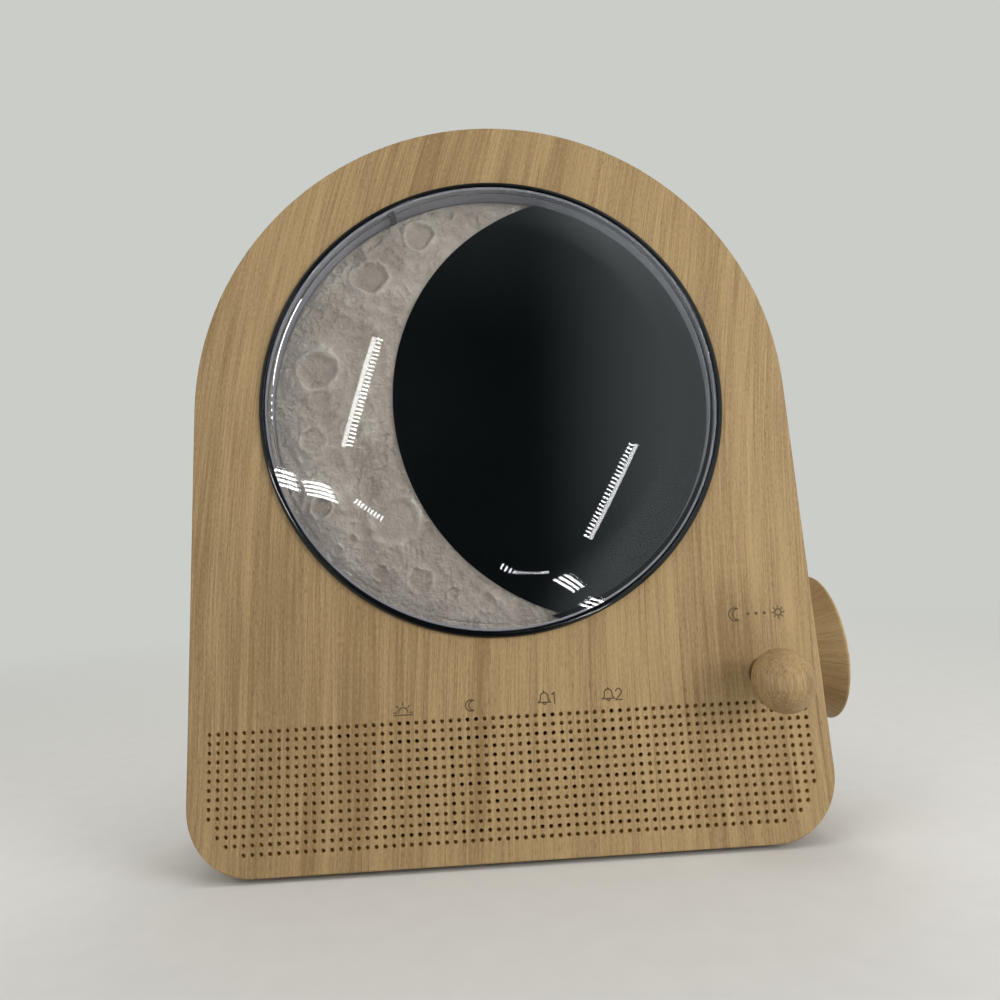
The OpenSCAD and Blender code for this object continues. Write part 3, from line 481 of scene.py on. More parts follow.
def makeBlackGloss(name, colour, rough, shine):
    look = glossLook
    material, shader, coords = newMaterial(name)
    place = coords["Object"]
    smear = mapRange(noiseNode(place, *look["smear"]), 0.35, 0.7, rough, rough + look["smearRough"])
    dust = minus(noiseNode(place, look["dustScale"], 0.0), look["dustFrom"])
    dust = times(times(dust, look["dustSharp"], True), look["dustShare"])
    feed(shader, {"Roughness": smear, "Base Color": mixColour(dust, srgb(colour), look["dust"]),
                  "Specular IOR Level": shine})
    return material


finish["ringGloss"] = makeBlackGloss("ringGloss", "07080A", 0.06, 0.5)
finish["maskSatin"] = makeBlackGloss("maskSatin", "030709", 0.3, 0.07)


def makeClear():
    material, shader, coords = newMaterial("clearDome")
    smear = noiseNode(coords["Object"], 35.0, 4.0, 0.6)
    feed(shader, {"Base Color": (0.95, 0.965, 0.97), "Transmission Weight": 1.0, "IOR": 1.49,
                  "Roughness": mapRange(smear, 0.5, 0.75, 0.0, 0.02)})
    return material


finish["clearDome"] = makeClear()


moonLook = {
    "deep": srgb("B9ACA0"), "middle": srgb("CDC1B5"), "pale": srgb("DFD4C9"),
    "tones": (0.36, 0.5, 0.66),     # where the three lie in the noise
    "paintedShade": srgb("94887C"),        # painted shade, which low ground takes on
    "light": srgb("F4EBE2"),        # painted highlight, which high ground takes on
    "rough": 0.4,
    "skinDepth": 0.0016,
}


def makeMoonMaterial():
    look = moonLook
    material, shader, coords = newMaterial("moonMatt")
    place = coords["Object"]
    large = noiseNode(place, 70.0, 4.0, 0.6)
    small = noiseNode(place, 420.0, 4.0, 0.65)
    mixed = plus(times(large, 0.6), times(small, 0.4))
    colour = rampNode(mixed, list(zip(look["tones"], (look["deep"], look["middle"], look["pale"]))))
    relief = newNode("ShaderNodeAttribute", {}, material.node_tree, attribute_name="relief").outputs["Fac"]
    # painted shade in the low ground and painted highlight on the high ground, from the relief
    low = mapRange(relief, 0.1, 0.5, 0.32, 0.0)
    high = mapRange(relief, 0.6, 0.95, 0.0, 0.5)
    colour = mixColour(high, mixColour(low, colour, look["paintedShade"]), look["light"])
    feed(shader, {"Base Color": colour, "Roughness": look["rough"]})
    tiny = noiseNode(place, 1300.0, 3.0, 0.6)
    bumpInto(shader, plus(small, times(tiny, 0.5)), 1.0, look["skinDepth"])
    return material


finish["moonMatt"] = makeMoonMaterial()
print("finishes ready")

lensShape = {"edge": 57.0, "foot": 0.2, "proud": 1.4, "wall": 1.8, "skirt": 1.8,
             "crownR": 450.0, "shoulderR": 40.0, "reach": 44.0, "outerSteps": 90, "innerSteps": 80}


def lensProfile(inset, reach, count):
    # points (radius, depth) of the dome's surface, drawn in by inset
    s = lensShape
    crownAngle = math.asin(s["reach"] / s["crownR"])
    shoulderX = (s["crownR"] - s["shoulderR"]) * math.sin(crownAngle)
    edgeAngle = math.asin((s["edge"] - shoulderX) / s["shoulderR"])
    rise = s["crownR"] * (1 - math.cos(crownAngle))
    rise += s["shoulderR"] * (math.cos(crownAngle) - math.cos(edgeAngle))
    top = -s["proud"] - rise
    shoulderY = top + s["crownR"] - (s["crownR"] - s["shoulderR"]) * math.cos(crownAngle)
    crown, shoulder = s["crownR"] - inset, s["shoulderR"] - inset
    points = []
    for k in range(1, count + 1):
        r = reach * k / count
        if r <= crown * math.sin(crownAngle):
            points.append((r, top + s["crownR"] - math.sqrt(crown * crown - r * r)))
        else:
            points.append((r, shoulderY - math.sqrt(shoulder * shoulder - (r - shoulderX) ** 2)))
    return points


def makeDome():
    s = lensShape
    innerReach = s["edge"] - s["skirt"]
    outer = lensProfile(0.0, s["edge"], s["outerSteps"])
    inner = lensProfile(s["wall"], innerReach, s["innerSteps"])
    outline = outer + [(s["edge"], s["foot"]), (innerReach, s["foot"])] + list(reversed(inner))
    dome = turnedMesh("clearDomeLens", outline, Vector((0, faceY, archZ)), closed=False)
    turnOutward(dome, 35)
    dome.visible_shadow = False     # so that the lamps light the moon through it
    return finishPiece(dome, "clearDome", "case", ["dome_lens"])


ringShape = {"inner": 57.15, "outer": 58.8, "proud": 1.4, "round": 1.2, "ease": 0.25,
             "lip": 58.0, "foot": 0.2}


def makeRing():
    s = ringShape
    outline = [(s["inner"], s["ease"] - s["proud"])]
    for k in range(1, 6):
        a = math.pi / 2 * k / 5
        outline.append((s["inner"] + s["ease"] * (1 - math.cos(a)),
                        -s["proud"] + s["ease"] * (1 - math.sin(a))))
    for k in range(0, 13):
        a = math.pi / 2 * k / 12
        outline.append((s["outer"] - s["round"] * (1 - math.sin(a)),
                        -s["proud"] + s["round"] * (1 - math.cos(a))))
    outline += [(s["outer"], 0), (s["lip"], 0), (s["lip"], s["foot"]), (s["inner"], s["foot"])]
    ring = turnedMesh("blackRing", outline, Vector((0, faceY, archZ)))
    turnOutward(ring, 50)
    return finishPiece(ring, "ringGloss", "case", ["bezel_ring"])


moonShape = {"rim": 7.0, "rise": 5.0, "reach": 56.3, "thick": 2.0, "crescentX": 31.5, "crescentR": 56.8,
             "maskLow": 0.1, "maskHigh": 0.8, "maskRows": 180, "maskAcross": 120,
             # the disc's steps: fine between two angles, coarse in the rest, and outwards from a radius
             "fineFrom": 73, "fineTo": 287, "fineSteps": 580, "coarseSteps": 44, "ringFrom": 24, "rings": 95,
             "low": -1.4, "high": 1.5,      # limits of the relief, mm
             "under": 0.3, "underShare": 0.3, "riseShare": 0.45,    # how it sets in at the mask's edge
             "rimFade": 0.9, "rimDrop": 0.7, "dropShare": 0.9,      # and how it ends at the disc's rim
             "tint": 0.6}       # how strongly the painted shade and painted highlight follow the relief
moonBall = (moonShape["reach"] ** 2 + moonShape["rise"] ** 2) / (2 * moonShape["rise"])


def moonDepth(x, z):
    return moonShape["rim"] - moonShape["rise"] + moonBall - math.sqrt(moonBall * moonBall - x * x - z * z)


def moonPoint(x, z, lift):
    # a point of the moon's skin, lifted towards the front
    return Vector((x * mm, faceY + (moonDepth(x, z) - lift) * mm, archZ + z * mm))


def makeMask():
    # gloss-black skin over the dark part, cut along the crescent's curve
    s = moonShape
    rows, across = s["maskRows"], s["maskAcross"]
    d, big, cut = s["crescentX"], s["reach"], s["crescentR"]
    meetX = (big * big - cut * cut + d * d) / (2 * d)
    halfHeight = math.sqrt(big * big - meetX * meetX) * 0.9999
    front, back = [], []
    for i in range(rows + 1):
        z = -halfHeight * math.cos(math.pi * i / rows)
        left, right = d - math.sqrt(cut * cut - z * z), math.sqrt(big * big - z * z)
        for j in range(across + 1):
            x = left + (right - left) * (0.5 - 0.5 * math.cos(math.pi * j / across))
            front.append(moonPoint(x, z, s["maskHigh"]))
            back.append(moonPoint(x, z, s["maskLow"]))
    count, width, faces = len(front), across + 1, []
    for i in range(rows):
        for j in range(across):
            a = i * width + j
            faces.append((a, a + 1, a + width + 1, a + width))
            faces.append((count + a, count + a + width, count + a + width + 1, count + a + 1))
    edge = [i * width for i in range(rows + 1)] + [rows * width + j for j in range(1, width)]
    edge += [i * width + across for i in range(rows - 1, -1, -1)] + list(range(across - 1, 0, -1))
    for k, a in enumerate(edge):
        b = edge[(k + 1) % len(edge)]
        faces.append((a, b, count + b, count + a))
    mask = newMesh("maskSkin", front + back, faces)
    turnOutward(mask, 35)
    return finishPiece(mask, "maskSatin", "case", ["moon_mask"])


moonRelief = {
    "seed": 4.0,
    "hills": 1.25, "hillScale": 0.085,          # height of the broad waves, mm
    "sway": 1.5, "swayScale": 0.13, "swaySeed": 7.3,        # how far the wrinkles are pushed about, mm
    "wrinkles": 0.75, "wrinkleScale": 0.2, "wrinkleGain": 0.7,      # height of the wrinkled skin, mm
    "wrinkleLayers": 5, "wrinkleSeed": 11.0, "scaleStep": 1.95, "gainStep": 0.66,
    "craterEnd": 2.4,                           # how far out a crater reaches, in radii
    "wobble": (0.2, 1.5),                       # share and scale of the bends in its outline
    "rimChange": (0.9, 1.2),                    # the same for its rim's height
    "bowl": (0.86, 0.04),                       # where its floor ends and how softly, in radii
    "apron": (0.5, 0.3), "lip": (0.15, 1.35),   # width in radii, share of the rim's height
    # x, z from the axis, radius, rim height, floor depth, all in mm
    "craters": [
        (-30.5, 35.0, 4.9, 0.55, 0.50), (-44.9, 10.0, 5.4, 0.60, 0.42), (-17.2, 46.4, 4.2, 0.40, 0.40),
        (-44.3, -25.4, 2.7, 0.50, 0.60), (-26.0, -29.5, 6.2, 0.42, 0.30), (-36.7, -33.4, 1.2, 0.35, 0.50),
        (-46.5, -8.0, 3.4, 0.30, 0.25), (-38.0, 22.5, 2.4, 0.25, 0.20), (-36.0, -6.0, 2.9, 0.25, 0.25),
        (-20.0, -44.5, 3.2, 0.30, 0.25), (-30.0, -42.0, 2.1, 0.28, 0.28), (-6.0, 50.5, 2.0, 0.25, 0.22),
        (-4.0, -50.5, 2.3, 0.22, 0.22), (-45.0, 25.5, 1.9, 0.25, 0.22), (-31.0, 12.0, 2.3, 0.20, 0.20),
        (-25.0, 22.0, 1.7, 0.22, 0.20), (-49.5, -17.0, 1.6, 0.25, 0.25), (-39.0, 38.0, 1.5, 0.22, 0.20),
        (-28.6, -14.0, 1.7, 0.20, 0.20), (-40.5, -36.0, 1.5, 0.25, 0.25), (-12.0, -48.0, 1.6, 0.22, 0.20),
    ],
}


def reliefHeight(x, z):
    look = moonRelief
    hills = noise.fractal(Vector((x * look["hillScale"], z * look["hillScale"], look["seed"])), 1.0, 2.1, 3)
    spot = Vector((x * look["swayScale"], z * look["swayScale"], look["swaySeed"]))
    sway = noise.noise(spot) * look["sway"]
    wrinkle, gain, scale = 0.0, look["wrinkleGain"], look["wrinkleScale"]
    for layer in range(look["wrinkleLayers"]):
        spot = Vector((x * scale + sway, z * scale * 0.8 - sway, look["wrinkleSeed"] + layer))
        fold = abs(noise.noise(spot))
        # ridges first, then puffs with creases between them
        wrinkle += gain * ((1 - fold) ** 2 - 0.75 if layer < 2 else fold * 1.5 - 0.3)
        gain *= look["gainStep"]
        scale *= look["scaleStep"]
    height = look["hills"] * hills * 0.6 + look["wrinkles"] * wrinkle
    for cx, cz, radius, rim, floor in look["craters"]:
        dx, dz = x - cx, z - cz
        far = math.hypot(dx, dz)
        if far > radius * look["craterEnd"]:
            continue
        share, scale = look["wobble"]
        wobble = 1 + share * noise.noise(Vector((dx / radius * scale, dz / radius * scale, cx)))
        share, scale = look["rimChange"]
        rim *= 1 + share * noise.noise(Vector((dx / radius * scale, dz / radius * scale, cz)))
        t = far / (radius * wobble)
        if t < 1.0:
            inside = 1 / (1 + math.exp((t - look["bowl"][0]) / look["bowl"][1]))
            height = height * (1 - 0.8 * inside) - floor * 1.3 * inside
        else:
            height += math.exp(-((t - 1.0) / look["apron"][0]) ** 2) * rim * look["apron"][1]
        height += math.exp(-((t - 1.0) / look["lip"][0]) ** 2) * rim * look["lip"][1]
    return height


def makeMoon():
    # one closed disc: fine steps where the crescent shows, coarse ones under the mask
    s = moonShape
    fineFrom, fineTo = math.radians(s["fineFrom"]), math.radians(s["fineTo"])
    fine, coarse, ringFrom, rings = s["fineSteps"], s["coarseSteps"], s["ringFrom"], s["rings"]
    angles = [fineFrom + (fineTo - fineFrom) * k / fine for k in range(fine)]
    angles += [fineTo + (2 * math.pi + fineFrom - fineTo) * k / coarse for k in range(coarse)]
    radii = [0.6, 5, 10, 15, 20, ringFrom]
    radii += [ringFrom + (s["reach"] - ringFrom) * k / rings for k in range(1, rings + 1)]
    verts, relief = [], []
    for r in radii:
        for a in angles:
            x, z = polar(r, a)
            gap = math.hypot(x - s["crescentX"], z) - s["crescentR"]
            height = 0.0
            if gap > -s["under"]:
                height = reliefHeight(x, z) * min(1.0, s["underShare"] + max(gap, 0) * s["riseShare"])
                height *= min(1.0, (s["reach"] - r) / s["rimFade"])
                height = max(s["low"], min(s["high"], height))
            drop = max(0.0, r - s["reach"] + s["rimDrop"])
            verts.append(moonPoint(x, z, height - drop * drop * s["dropShare"]))
            # the relief, kept for the moon's painted shade and painted highlight
            relief.append(max(0.0, min(1.0, 0.5 + height * s["tint"])))
    for r in (s["reach"], 40.0, 20.0, 0.6):
        verts += [moonPoint(*polar(r, a), -s["thick"]) for a in angles]
        relief += [0.5] * len(angles)
    width, rows = len(angles), len(radii) + 4
    faces = []
    for i in range(rows - 1):
        a, b = i * width, (i + 1) * width
        faces += [(a + j, a + (j + 1) % width, b + (j + 1) % width, b + j) for j in range(width)]
    faces.append(tuple(range(width)))
    faces.append(tuple(range((rows - 1) * width, rows * width)))
    moon = newMesh("moonRelief", verts, faces)
    layer = moon.data.attributes.new("relief", "FLOAT", "POINT")
    layer.data.foreach_set("value", relief)
    turnOutward(moon, 60)
    return finishPiece(moon, "moonMatt", "case", ["moon_diffuser"])


wheelShape = {"foot": 0.6, "root": 13.8, "rim": 18.0, "width": 9.0, "rimRound": 0.55, "flare": 1.5,
              "recess": 8.5, "recessDeep": 3.0, "bore": 3.0, "boreEnd": 9.0}


def makeWheel():
    s = wheelShape
    top, small = s["foot"] + s["width"], s["rimRound"]
    flareTop = top - small * 1.3
    # the bore for the shaft and the hollow over the nut come first, then the foot and the flare
    outline = [(0.1, s["boreEnd"]), (s["bore"], s["boreEnd"]), (s["bore"], s["foot"] + s["recessDeep"]),
               (s["recess"], s["foot"] + s["recessDeep"]), (s["recess"], s["foot"]),
               (s["root"] - 0.3, s["foot"]), (s["root"], s["foot"] + 0.3)]
    for k in range(1, 25):
        t = k / 24
        outline.append((s["root"] + (s["rim"] - 0.05 - s["root"]) * t ** s["flare"],
                        s["foot"] + 0.3 + (flareTop - s["foot"] - 0.3) * t))
    for k in range(0, 9):
        out, up = polar(small, math.radians(95) * k / 8)
        outline.append((s["rim"] - small + out, top - small + up))
    outline.append((0.1, top))
    centre = Vector((halfWidth, wheelAxis[0], wheelAxis[1]))
    wheel = turnedMesh("flaredWheel", outline, centre, 192, False, True)
    turnOutward(wheel, 50)
    return finishPiece(wheel, "woodWheel", "wheel", ["side_wheel"])


trayKeyShape = {"angle": 115.0, "width": 1.4, "inner": 55.7, "outer": 56.6, "from": 0.6, "to": 6.6}


def makeTrayKey():
    # the small rib on the tray's wall that sets the dome's turn
    s = trayKeyShape
    a = math.radians(s["angle"])
    along, across = Vector((math.cos(a), 0, math.sin(a))), Vector((-math.sin(a), 0, math.cos(a)))
    verts = [Vector((0, faceY + y * mm, archZ)) + along * r * mm + across * w * mm
             for r in (s["inner"], s["outer"]) for w in (-s["width"] / 2, s["width"] / 2)
             for y in (s["from"], s["to"])]
    faces = [(0, 1, 3, 2), (4, 6, 7, 5), (0, 4, 5, 1), (2, 3, 7, 6), (0, 2, 6, 4), (1, 5, 7, 3)]
    key = newMesh("trayKey", verts, faces)
    turnOutward(key, 30)
    return finishPiece(key, "keyGrey", "case")


for makePiece in (makeDome, makeRing, makeMask, makeMoon, makeWheel, makeTrayKey):
    makePiece()
print("moon, dome and wheel ready")

dotShape = {"pitch": 2.0, "middle": 18.96, "digits": (-15, -7, 2, 10), "wide": 5, "colon": (2, 1, -3, -4),
            "pairs": ((-20, 5), (-13, 6), (-5, 6), (4, 6), (12, 6)),
            "outer": 0.488, "wall": 0.46, "from": 1.6, "to": 2.96, "steps": 16}


def lightDots():
    spots = []
    for left in dotShape["digits"]:
        for row in (0, 1, 2, 3, -5, -4, -3, -2):
            spots += [(left, row), (left + dotShape["wide"], row)]
        spots += [(left + k, row) for k in range(1, dotShape["wide"]) for row in (4, -1, -6)]
    spots += [(0, row) for row in dotShape["colon"]]
    for col, row in dotShape["pairs"]:
        spots += [(col, row), (col + 1, row)]
    return spots


def startPieceTree(name, labels):
    # takes the points to set the piece on and one named length for each label
    tree = bpy.data.node_groups.new(name, "GeometryNodeTree")
    sides = tree.interface
    sides.new_socket(name="Geometry", in_out="INPUT", socket_type="NodeSocketGeometry")
    for label in labels:
        sides.new_socket(name=label, in_out="INPUT", socket_type="NodeSocketFloat")
    sides.new_socket(name="Geometry", in_out="OUTPUT", socket_type="NodeSocketGeometry")
    return tree, tree.nodes.new("NodeGroupInput"), tree.nodes.new("NodeGroupOutput")


def endPieceTree(start, end, path, section, caps, turn, material):
    # the section swept along the path, turned about X and set on every point
    swept = newNode("GeometryNodeCurveToMesh", {"Curve": path, "Profile Curve": section, "Fill Caps": caps})
    lay = newNode("GeometryNodeTransform", {"Geometry": swept, "Rotation": (turn, 0, 0)})
    spread = newNode("GeometryNodeInstanceOnPoints", {"Points": start.outputs["Geometry"], "Instance": lay})
    real = newNode("GeometryNodeRealizeInstances", {"Geometry": spread})
    paint = newNode("GeometryNodeSetMaterial", {"Geometry": real, "Material": material})
    feed(end, {"Geometry": paint})


def pieceFromTree(name, points, tree, values):
    seed = newMesh(name + "Points", points, [])
    modifier = seed.modifiers.new(name, "NODES")
    modifier.node_group = tree
    for item in tree.interface.items_tree:
        if item.item_type == "SOCKET" and item.in_out == "INPUT" and item.name in values:
            modifier[item.identifier] = values[item.name]
    bpy.context.view_layer.update()
    result = bpy.data.meshes.new_from_object(seed.evaluated_get(bpy.context.evaluated_depsgraph_get()))
    bpy.data.objects.remove(seed)
    piece = bpy.data.objects.new(name, result)
    scene.collection.objects.link(piece)
    turnOutward(piece, 40)
    print(name, "ready:", len(result.polygons), "faces")
    return piece


def makeSleeveTree(material):
    # one dark light guide with a fine bore, set on every point of the mesh it is given
    tree, start, end = startPieceTree("sleeveRow", ("Outer Radius", "Wall", "Length"))
    wall = start.outputs["Wall"]
    middle = minus(start.outputs["Outer Radius"], times(wall, 0.5))
    hoop = newNode("GeometryNodeCurvePrimitiveCircle", {"Resolution": dotShape["steps"], "Radius": middle})
    inputs = {"Width": wall, "Height": start.outputs["Length"]}
    section = newNode("GeometryNodeCurvePrimitiveQuadrilateral", inputs)
    endPieceTree(start, end, hoop, section, False, math.pi / 2, material)
    return tree


def makeSleeves():
    s = dotShape
    middle = (s["from"] + s["to"]) / 2
    points = [casePoint(col * s["pitch"], middle, s["middle"] + row * s["pitch"]) for col, row in lightDots()]
    values = {"Outer Radius": s["outer"] * mm, "Wall": s["wall"] * mm, "Length": (s["to"] - s["from"]) * mm}
    sleeves = pieceFromTree("dotSleeves", points, makeSleeveTree(finish["dotSmoke"]), values)
    return finishPiece(sleeves, "dotSmoke", "case")


springShape = {"wire": 0.5, "turns": 5, "steps": 40, "around": 12, "travel": 0.8, "held": -9.5}


def makeSpringTree(material):
    # a round wire wound along Y from the point it is given
    tree, start, end = startPieceTree("woundWire", ("Mean Radius", "Wire Radius", "Length"))
    radius = start.outputs["Mean Radius"]
    inputs = {"Resolution": springShape["steps"], "Rotations": springShape["turns"],
              "Start Radius": radius, "End Radius": radius, "Height": start.outputs["Length"]}
    coil = newNode("GeometryNodeCurveSpiral", inputs)
    inputs = {"Resolution": springShape["around"], "Radius": start.outputs["Wire Radius"]}
    wire = newNode("GeometryNodeCurvePrimitiveCircle", inputs)
    endPieceTree(start, end, coil, wire, True, -math.pi / 2, material)
    return tree


def makeSpring():
    # the spring behind the ball, built at one length; the real one shortens as the ball is pressed
    s = springShape
    spots = [nodes["snooze_spring"].matrix_world @ v.co for v in nodes["snooze_spring"].data.vertices]
    low, high = ([pick(p[k] for p in spots) for k in range(3)] for pick in (min, max))
    wire = s["wire"] / 2 * mm
    point = Vector(((low[0] + high[0]) / 2, low[1] + wire, (low[2] + high[2]) / 2))
    values = {"Mean Radius": (high[0] - low[0]) / 2 - wire, "Wire Radius": wire,
              "Length": high[1] - low[1] - 2 * wire}
    spring = pieceFromTree("woundSpring", [point], makeSpringTree(finish["steel"]), values)
    finishPiece(spring, "steel", "case", ["snooze_spring"])
    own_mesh(spring)
    return spring


makeSleeves()
makeSpring()


# printed signs: thin strokes along lines, in millimetres on the face they are printed on
def arcLine(cx, cy, radius, fromDeg, toDeg, steps=16):
    spots = [polar(radius, math.radians(fromDeg + (toDeg - fromDeg) * k / steps)) for k in range(steps + 1)]
    return [(cx + x, cy + y) for x, y in spots]


def scaled(x, z, size, spots):
    # a line's points about (x, z)
    return [(x + dx * size, z + dz * size) for dx, dz in spots]


def bellLines(x, z, size):
    k = size / 3.4
    left = scaled(x, z, k, [(-1.45, -1.0), (-0.95, -0.45), (-0.95, 0.25)])
    top = arcLine(x, z + 0.25 * k, 0.95 * k, 180, 0, 14)
    right = scaled(x, z, k, [(0.95, -0.45), (1.45, -1.0), (-1.45, -1.0)])
    return [left + top[1:] + right, arcLine(x, z - 1.1 * k, 0.36 * k, 200, 340, 6),
            scaled(x, z, k, [(0, 1.2), (0, 1.55)])]


def digitLines(digit, x, z, height):
    h = height / 2
    if digit == 1:
        return [scaled(x, z, h, [(-0.45, 0.6), (0, 1), (0, -1)])]
    return [arcLine(x, z + 0.45 * h, 0.55 * h, 170, -35, 12) + scaled(x, z, h, [(-0.6, -1), (0.62, -1)])]


def sunLines(x, z, radius, half):
    reach = 180 if half else 360
    lines = [arcLine(x, z, radius, 0, reach, 20 if half else 32)]
    count = 5 if half else 8
    for k in range(count):
        a = math.radians(k * reach / (count - 1 if half else count))
        lines.append(scaled(x, z, 1, [polar(radius * share, a) for share in (1.45, 2.0)]))
    return lines + ([scaled(x, z, radius, [(-2.0, -0.5), (2.0, -0.5)])] if half else [])


def moonLines(x, z, radius):
    outer = arcLine(x, z, radius, 62, 298, 24)
    inner = arcLine(x + 0.52 * radius, z, 0.885 * radius, 266, 94, 18)
    return [outer + inner + [outer[0]]]


def noteLines(x, z, size):
    k = size / 3.4
    heads = [arcLine(*spot, 0.42 * k, 0, 360, 12) for spot in scaled(x, z, k, [(-1.0, -1.15), (0.7, -0.85)])]
    return heads + [scaled(x, z, k, [(-0.6, -1.1), (-0.6, 1.3), (1.1, 1.6), (1.1, -0.8)])]


def clockLines(x, z, radius):
    hands = scaled(x, z, radius, [(0, 0.62), (0, 0), (0.45, -0.25)])
    return [arcLine(x, z, radius, 0, 360, 28), hands]


def strokePiece(name, lines, width, planeY, outward):
    # outward is -1 on the front and +1 on the rear, where x is mirrored so that it reads right
    verts, faces = [], []
    half, thick, sunk, overhang, mitre = width / 2, 0.03, 0.02, 0.6, 0.35
    for line in lines:
        pts = [Vector(p) for p in line]
        loop = (pts[0] - pts[-1]).length < 1e-6
        if loop:
            pts = pts[:-1]
        n = len(pts)
        base = len(verts)
        for i, p in enumerate(pts):
            before = pts[i - 1] if (i or loop) else None
            after = pts[(i + 1) % n] if (i < n - 1 or loop) else None
            a = (p - before).normalized() if before is not None else (after - p).normalized()
            b = (after - p).normalized() if after is not None else a
            side = Vector((-(a.y + b.y), a.x + b.x)).normalized()
            reach = half / max(mitre, side.dot(Vector((-a.y, a.x))))
            past = -1 if before is None else 1 if after is None else 0
            ends = a * past * half * overhang
            for q in (p + ends + side * reach, p + ends - side * reach):
                for y in (planeY + outward * thick * mm, planeY - outward * sunk * mm):
                    verts.append((-outward * q.x * mm, y, caseFoot + q.y * mm))
        for i in range(n if loop else n - 1):
            a, b = base + 4 * i, base + 4 * ((i + 1) % n)
            faces += [(a, b, b + 2, a + 2), (a + 1, a + 3, b + 3, b + 1)]
            faces += [(a, a + 1, b + 1, b), (a + 2, b + 2, b + 3, a + 3)]
        if not loop:
            last = base + 4 * (n - 1)
            faces += [(base, base + 2, base + 3, base + 1), (last, last + 1, last + 3, last + 2)]
    sign = newMesh(name, verts, faces, smooth=False)
    turnOutward(sign)
    return finishPiece(sign, "printInk", "case")


frontSigns = {
    "line": 0.3, "rowZ": 34.06, "bellZ": 34.75, "bellHeight": 3.3, "digitHeight": 2.5,
    "sunX": -25.0, "moonX": -9.05, "bells": ((1, 8.3, 10.7), (2, 23.5, 26.0)),
    "snoozeX": 61.2, "snoozeZ": 51.2,
}


def makeFrontSigns():
    s = frontSigns
    lines = sunLines(s["sunX"], s["rowZ"] - 0.7, 1.1, True)
    lines += moonLines(s["moonX"], s["rowZ"], 1.25)
    for digit, bellX, digitX in s["bells"]:
        lines += bellLines(bellX, s["bellZ"], s["bellHeight"])
        lines += digitLines(digit, digitX, s["bellZ"] - 0.1, s["digitHeight"])
    lines += moonLines(s["snoozeX"] - 5.4, s["snoozeZ"], 1.5)
    lines += sunLines(s["snoozeX"] + 5.2, s["snoozeZ"], 0.75, False)
    for k in (-2, 0, 2):
        lines.append(arcLine(s["snoozeX"] - 0.2 + k, s["snoozeZ"], 0.22, 0, 360, 10))
    return strokePiece("frontSigns", lines, s["line"], faceY, -1)


rearSigns = {"line": 0.4, "signZ": 37.6, "size": 3.6}


def makeRearSigns():
    # seen from behind, x runs the other way, so every sign's x is turned round
    s = rearSigns
    keyX = [sum(p.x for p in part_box(name)) / 2 / mm for name in
            ("time_button", "alarm_one_button", "alarm_two_button", "sound_button")]
    lines = clockLines(-keyX[0], s["signZ"], 1.7)
    for digit, x in ((1, -keyX[1]), (2, -keyX[2])):
        lines += bellLines(x - 0.9, s["signZ"], s["size"]) + digitLines(digit, x + 1.9, s["signZ"] - 0.1, 2.6)
    lines += noteLines(-keyX[3], s["signZ"], s["size"])
    return strokePiece("rearSigns", lines, s["line"], backY, 1)


makeFrontSigns()
makeRearSigns()
print("signs ready")

# the CAD's nodes by their look
nodeLooks = {
    "woodFront": "front_panel",
    "woodSide": "body_shell",
    "woodBall": "snooze_ball",
    "woodWheel": "side_wheel",
    "caseBrown": "rear_cover",
    "screwSteel": "cover_screws",
    "padBlack": "base_pad speaker_gasket",
    "trayGrey": "lens_tray",
    "housingWhite": "lamp_housing lamp_board",
    "chipYellow": "lamp_leds display_leds",
    "filmBlack": "display_film",
    "baffleBlack": "light_baffle",
    "boardGreen": "display_board main_board snooze_board encoder_board",
    "partBlack": "board_parts cell_holder snooze_switch button_switches speaker_lead",
    "ribbonGrey": "ribbon_cable",
    "steel": "lamp_screws display_screws board_screws backup_cell usb_inlet speaker_basket snooze_spring "
             "wheel_shaft",
    "coneBlack": "speaker_cone",
    "ferrite": "speaker_magnet encoder",
    "bushBrown": "snooze_stem stem_bush",
    "brass": "encoder_nut",
    "keyBrown": "time_button alarm_one_button alarm_two_button sound_button",
    "wireRed": "lamp_lead",
    "ringGloss": "bezel_ring",
    "maskSatin": "moon_mask",
    "moonMatt": "moon_diffuser",
    "clearDome": "dome_lens",
}
for look, names in nodeLooks.items():
    for name in names.split():
        mesh = nodes[name].data
        if not mesh.materials:
            mesh.materials.append(finish[look])
        for i in range(len(mesh.materials)):
            mesh.materials[i] = finish[look]

# fitted to the photograph's rows of holes, arch, ring and wheel
cameraLook = {
    "turn": (-0.2075, -0.02623, -0.05083),     # turn of the view, in the picture's axes
    "place": (-8.914, -199.518, 67.894),       # mm: x, depth, height over the case's underside
    "pixels": 800.0, "middle": (481.5, 389.7), "frame": 1000.0, "sensor": 36.0, "clip": (0.005, 50),
}


def makeCamera():
    look = cameraLook
    data = bpy.data.cameras.new("photoView")
    camera = bpy.data.objects.new("photoView", data)
    scene.collection.objects.link(camera)
    w = Vector(look["turn"])
    # rows: right, down and ahead in the picture, in the frame's axes
    upright = Matrix(((1, 0, 0), (0, 0, -1), (0, 1, 0)))
    right, down, ahead = Matrix.Rotation(w.length, 3, w.normalized()) @ upright
    pose = Matrix((right, -down, -ahead)).transposed().to_4x4()
    pose.translation = casePoint(*look["place"])
    camera.matrix_world = pose
    data.sensor_width = look["sensor"]
    data.lens = look["sensor"] * look["pixels"] / look["frame"]
    data.shift_x = (look["frame"] / 2 - look["middle"][0]) / look["frame"]
    data.shift_y = (look["middle"][1] - look["frame"] / 2) / look["frame"]
    data.clip_start, data.clip_end = look["clip"]
    scene.camera = camera


makeCamera()

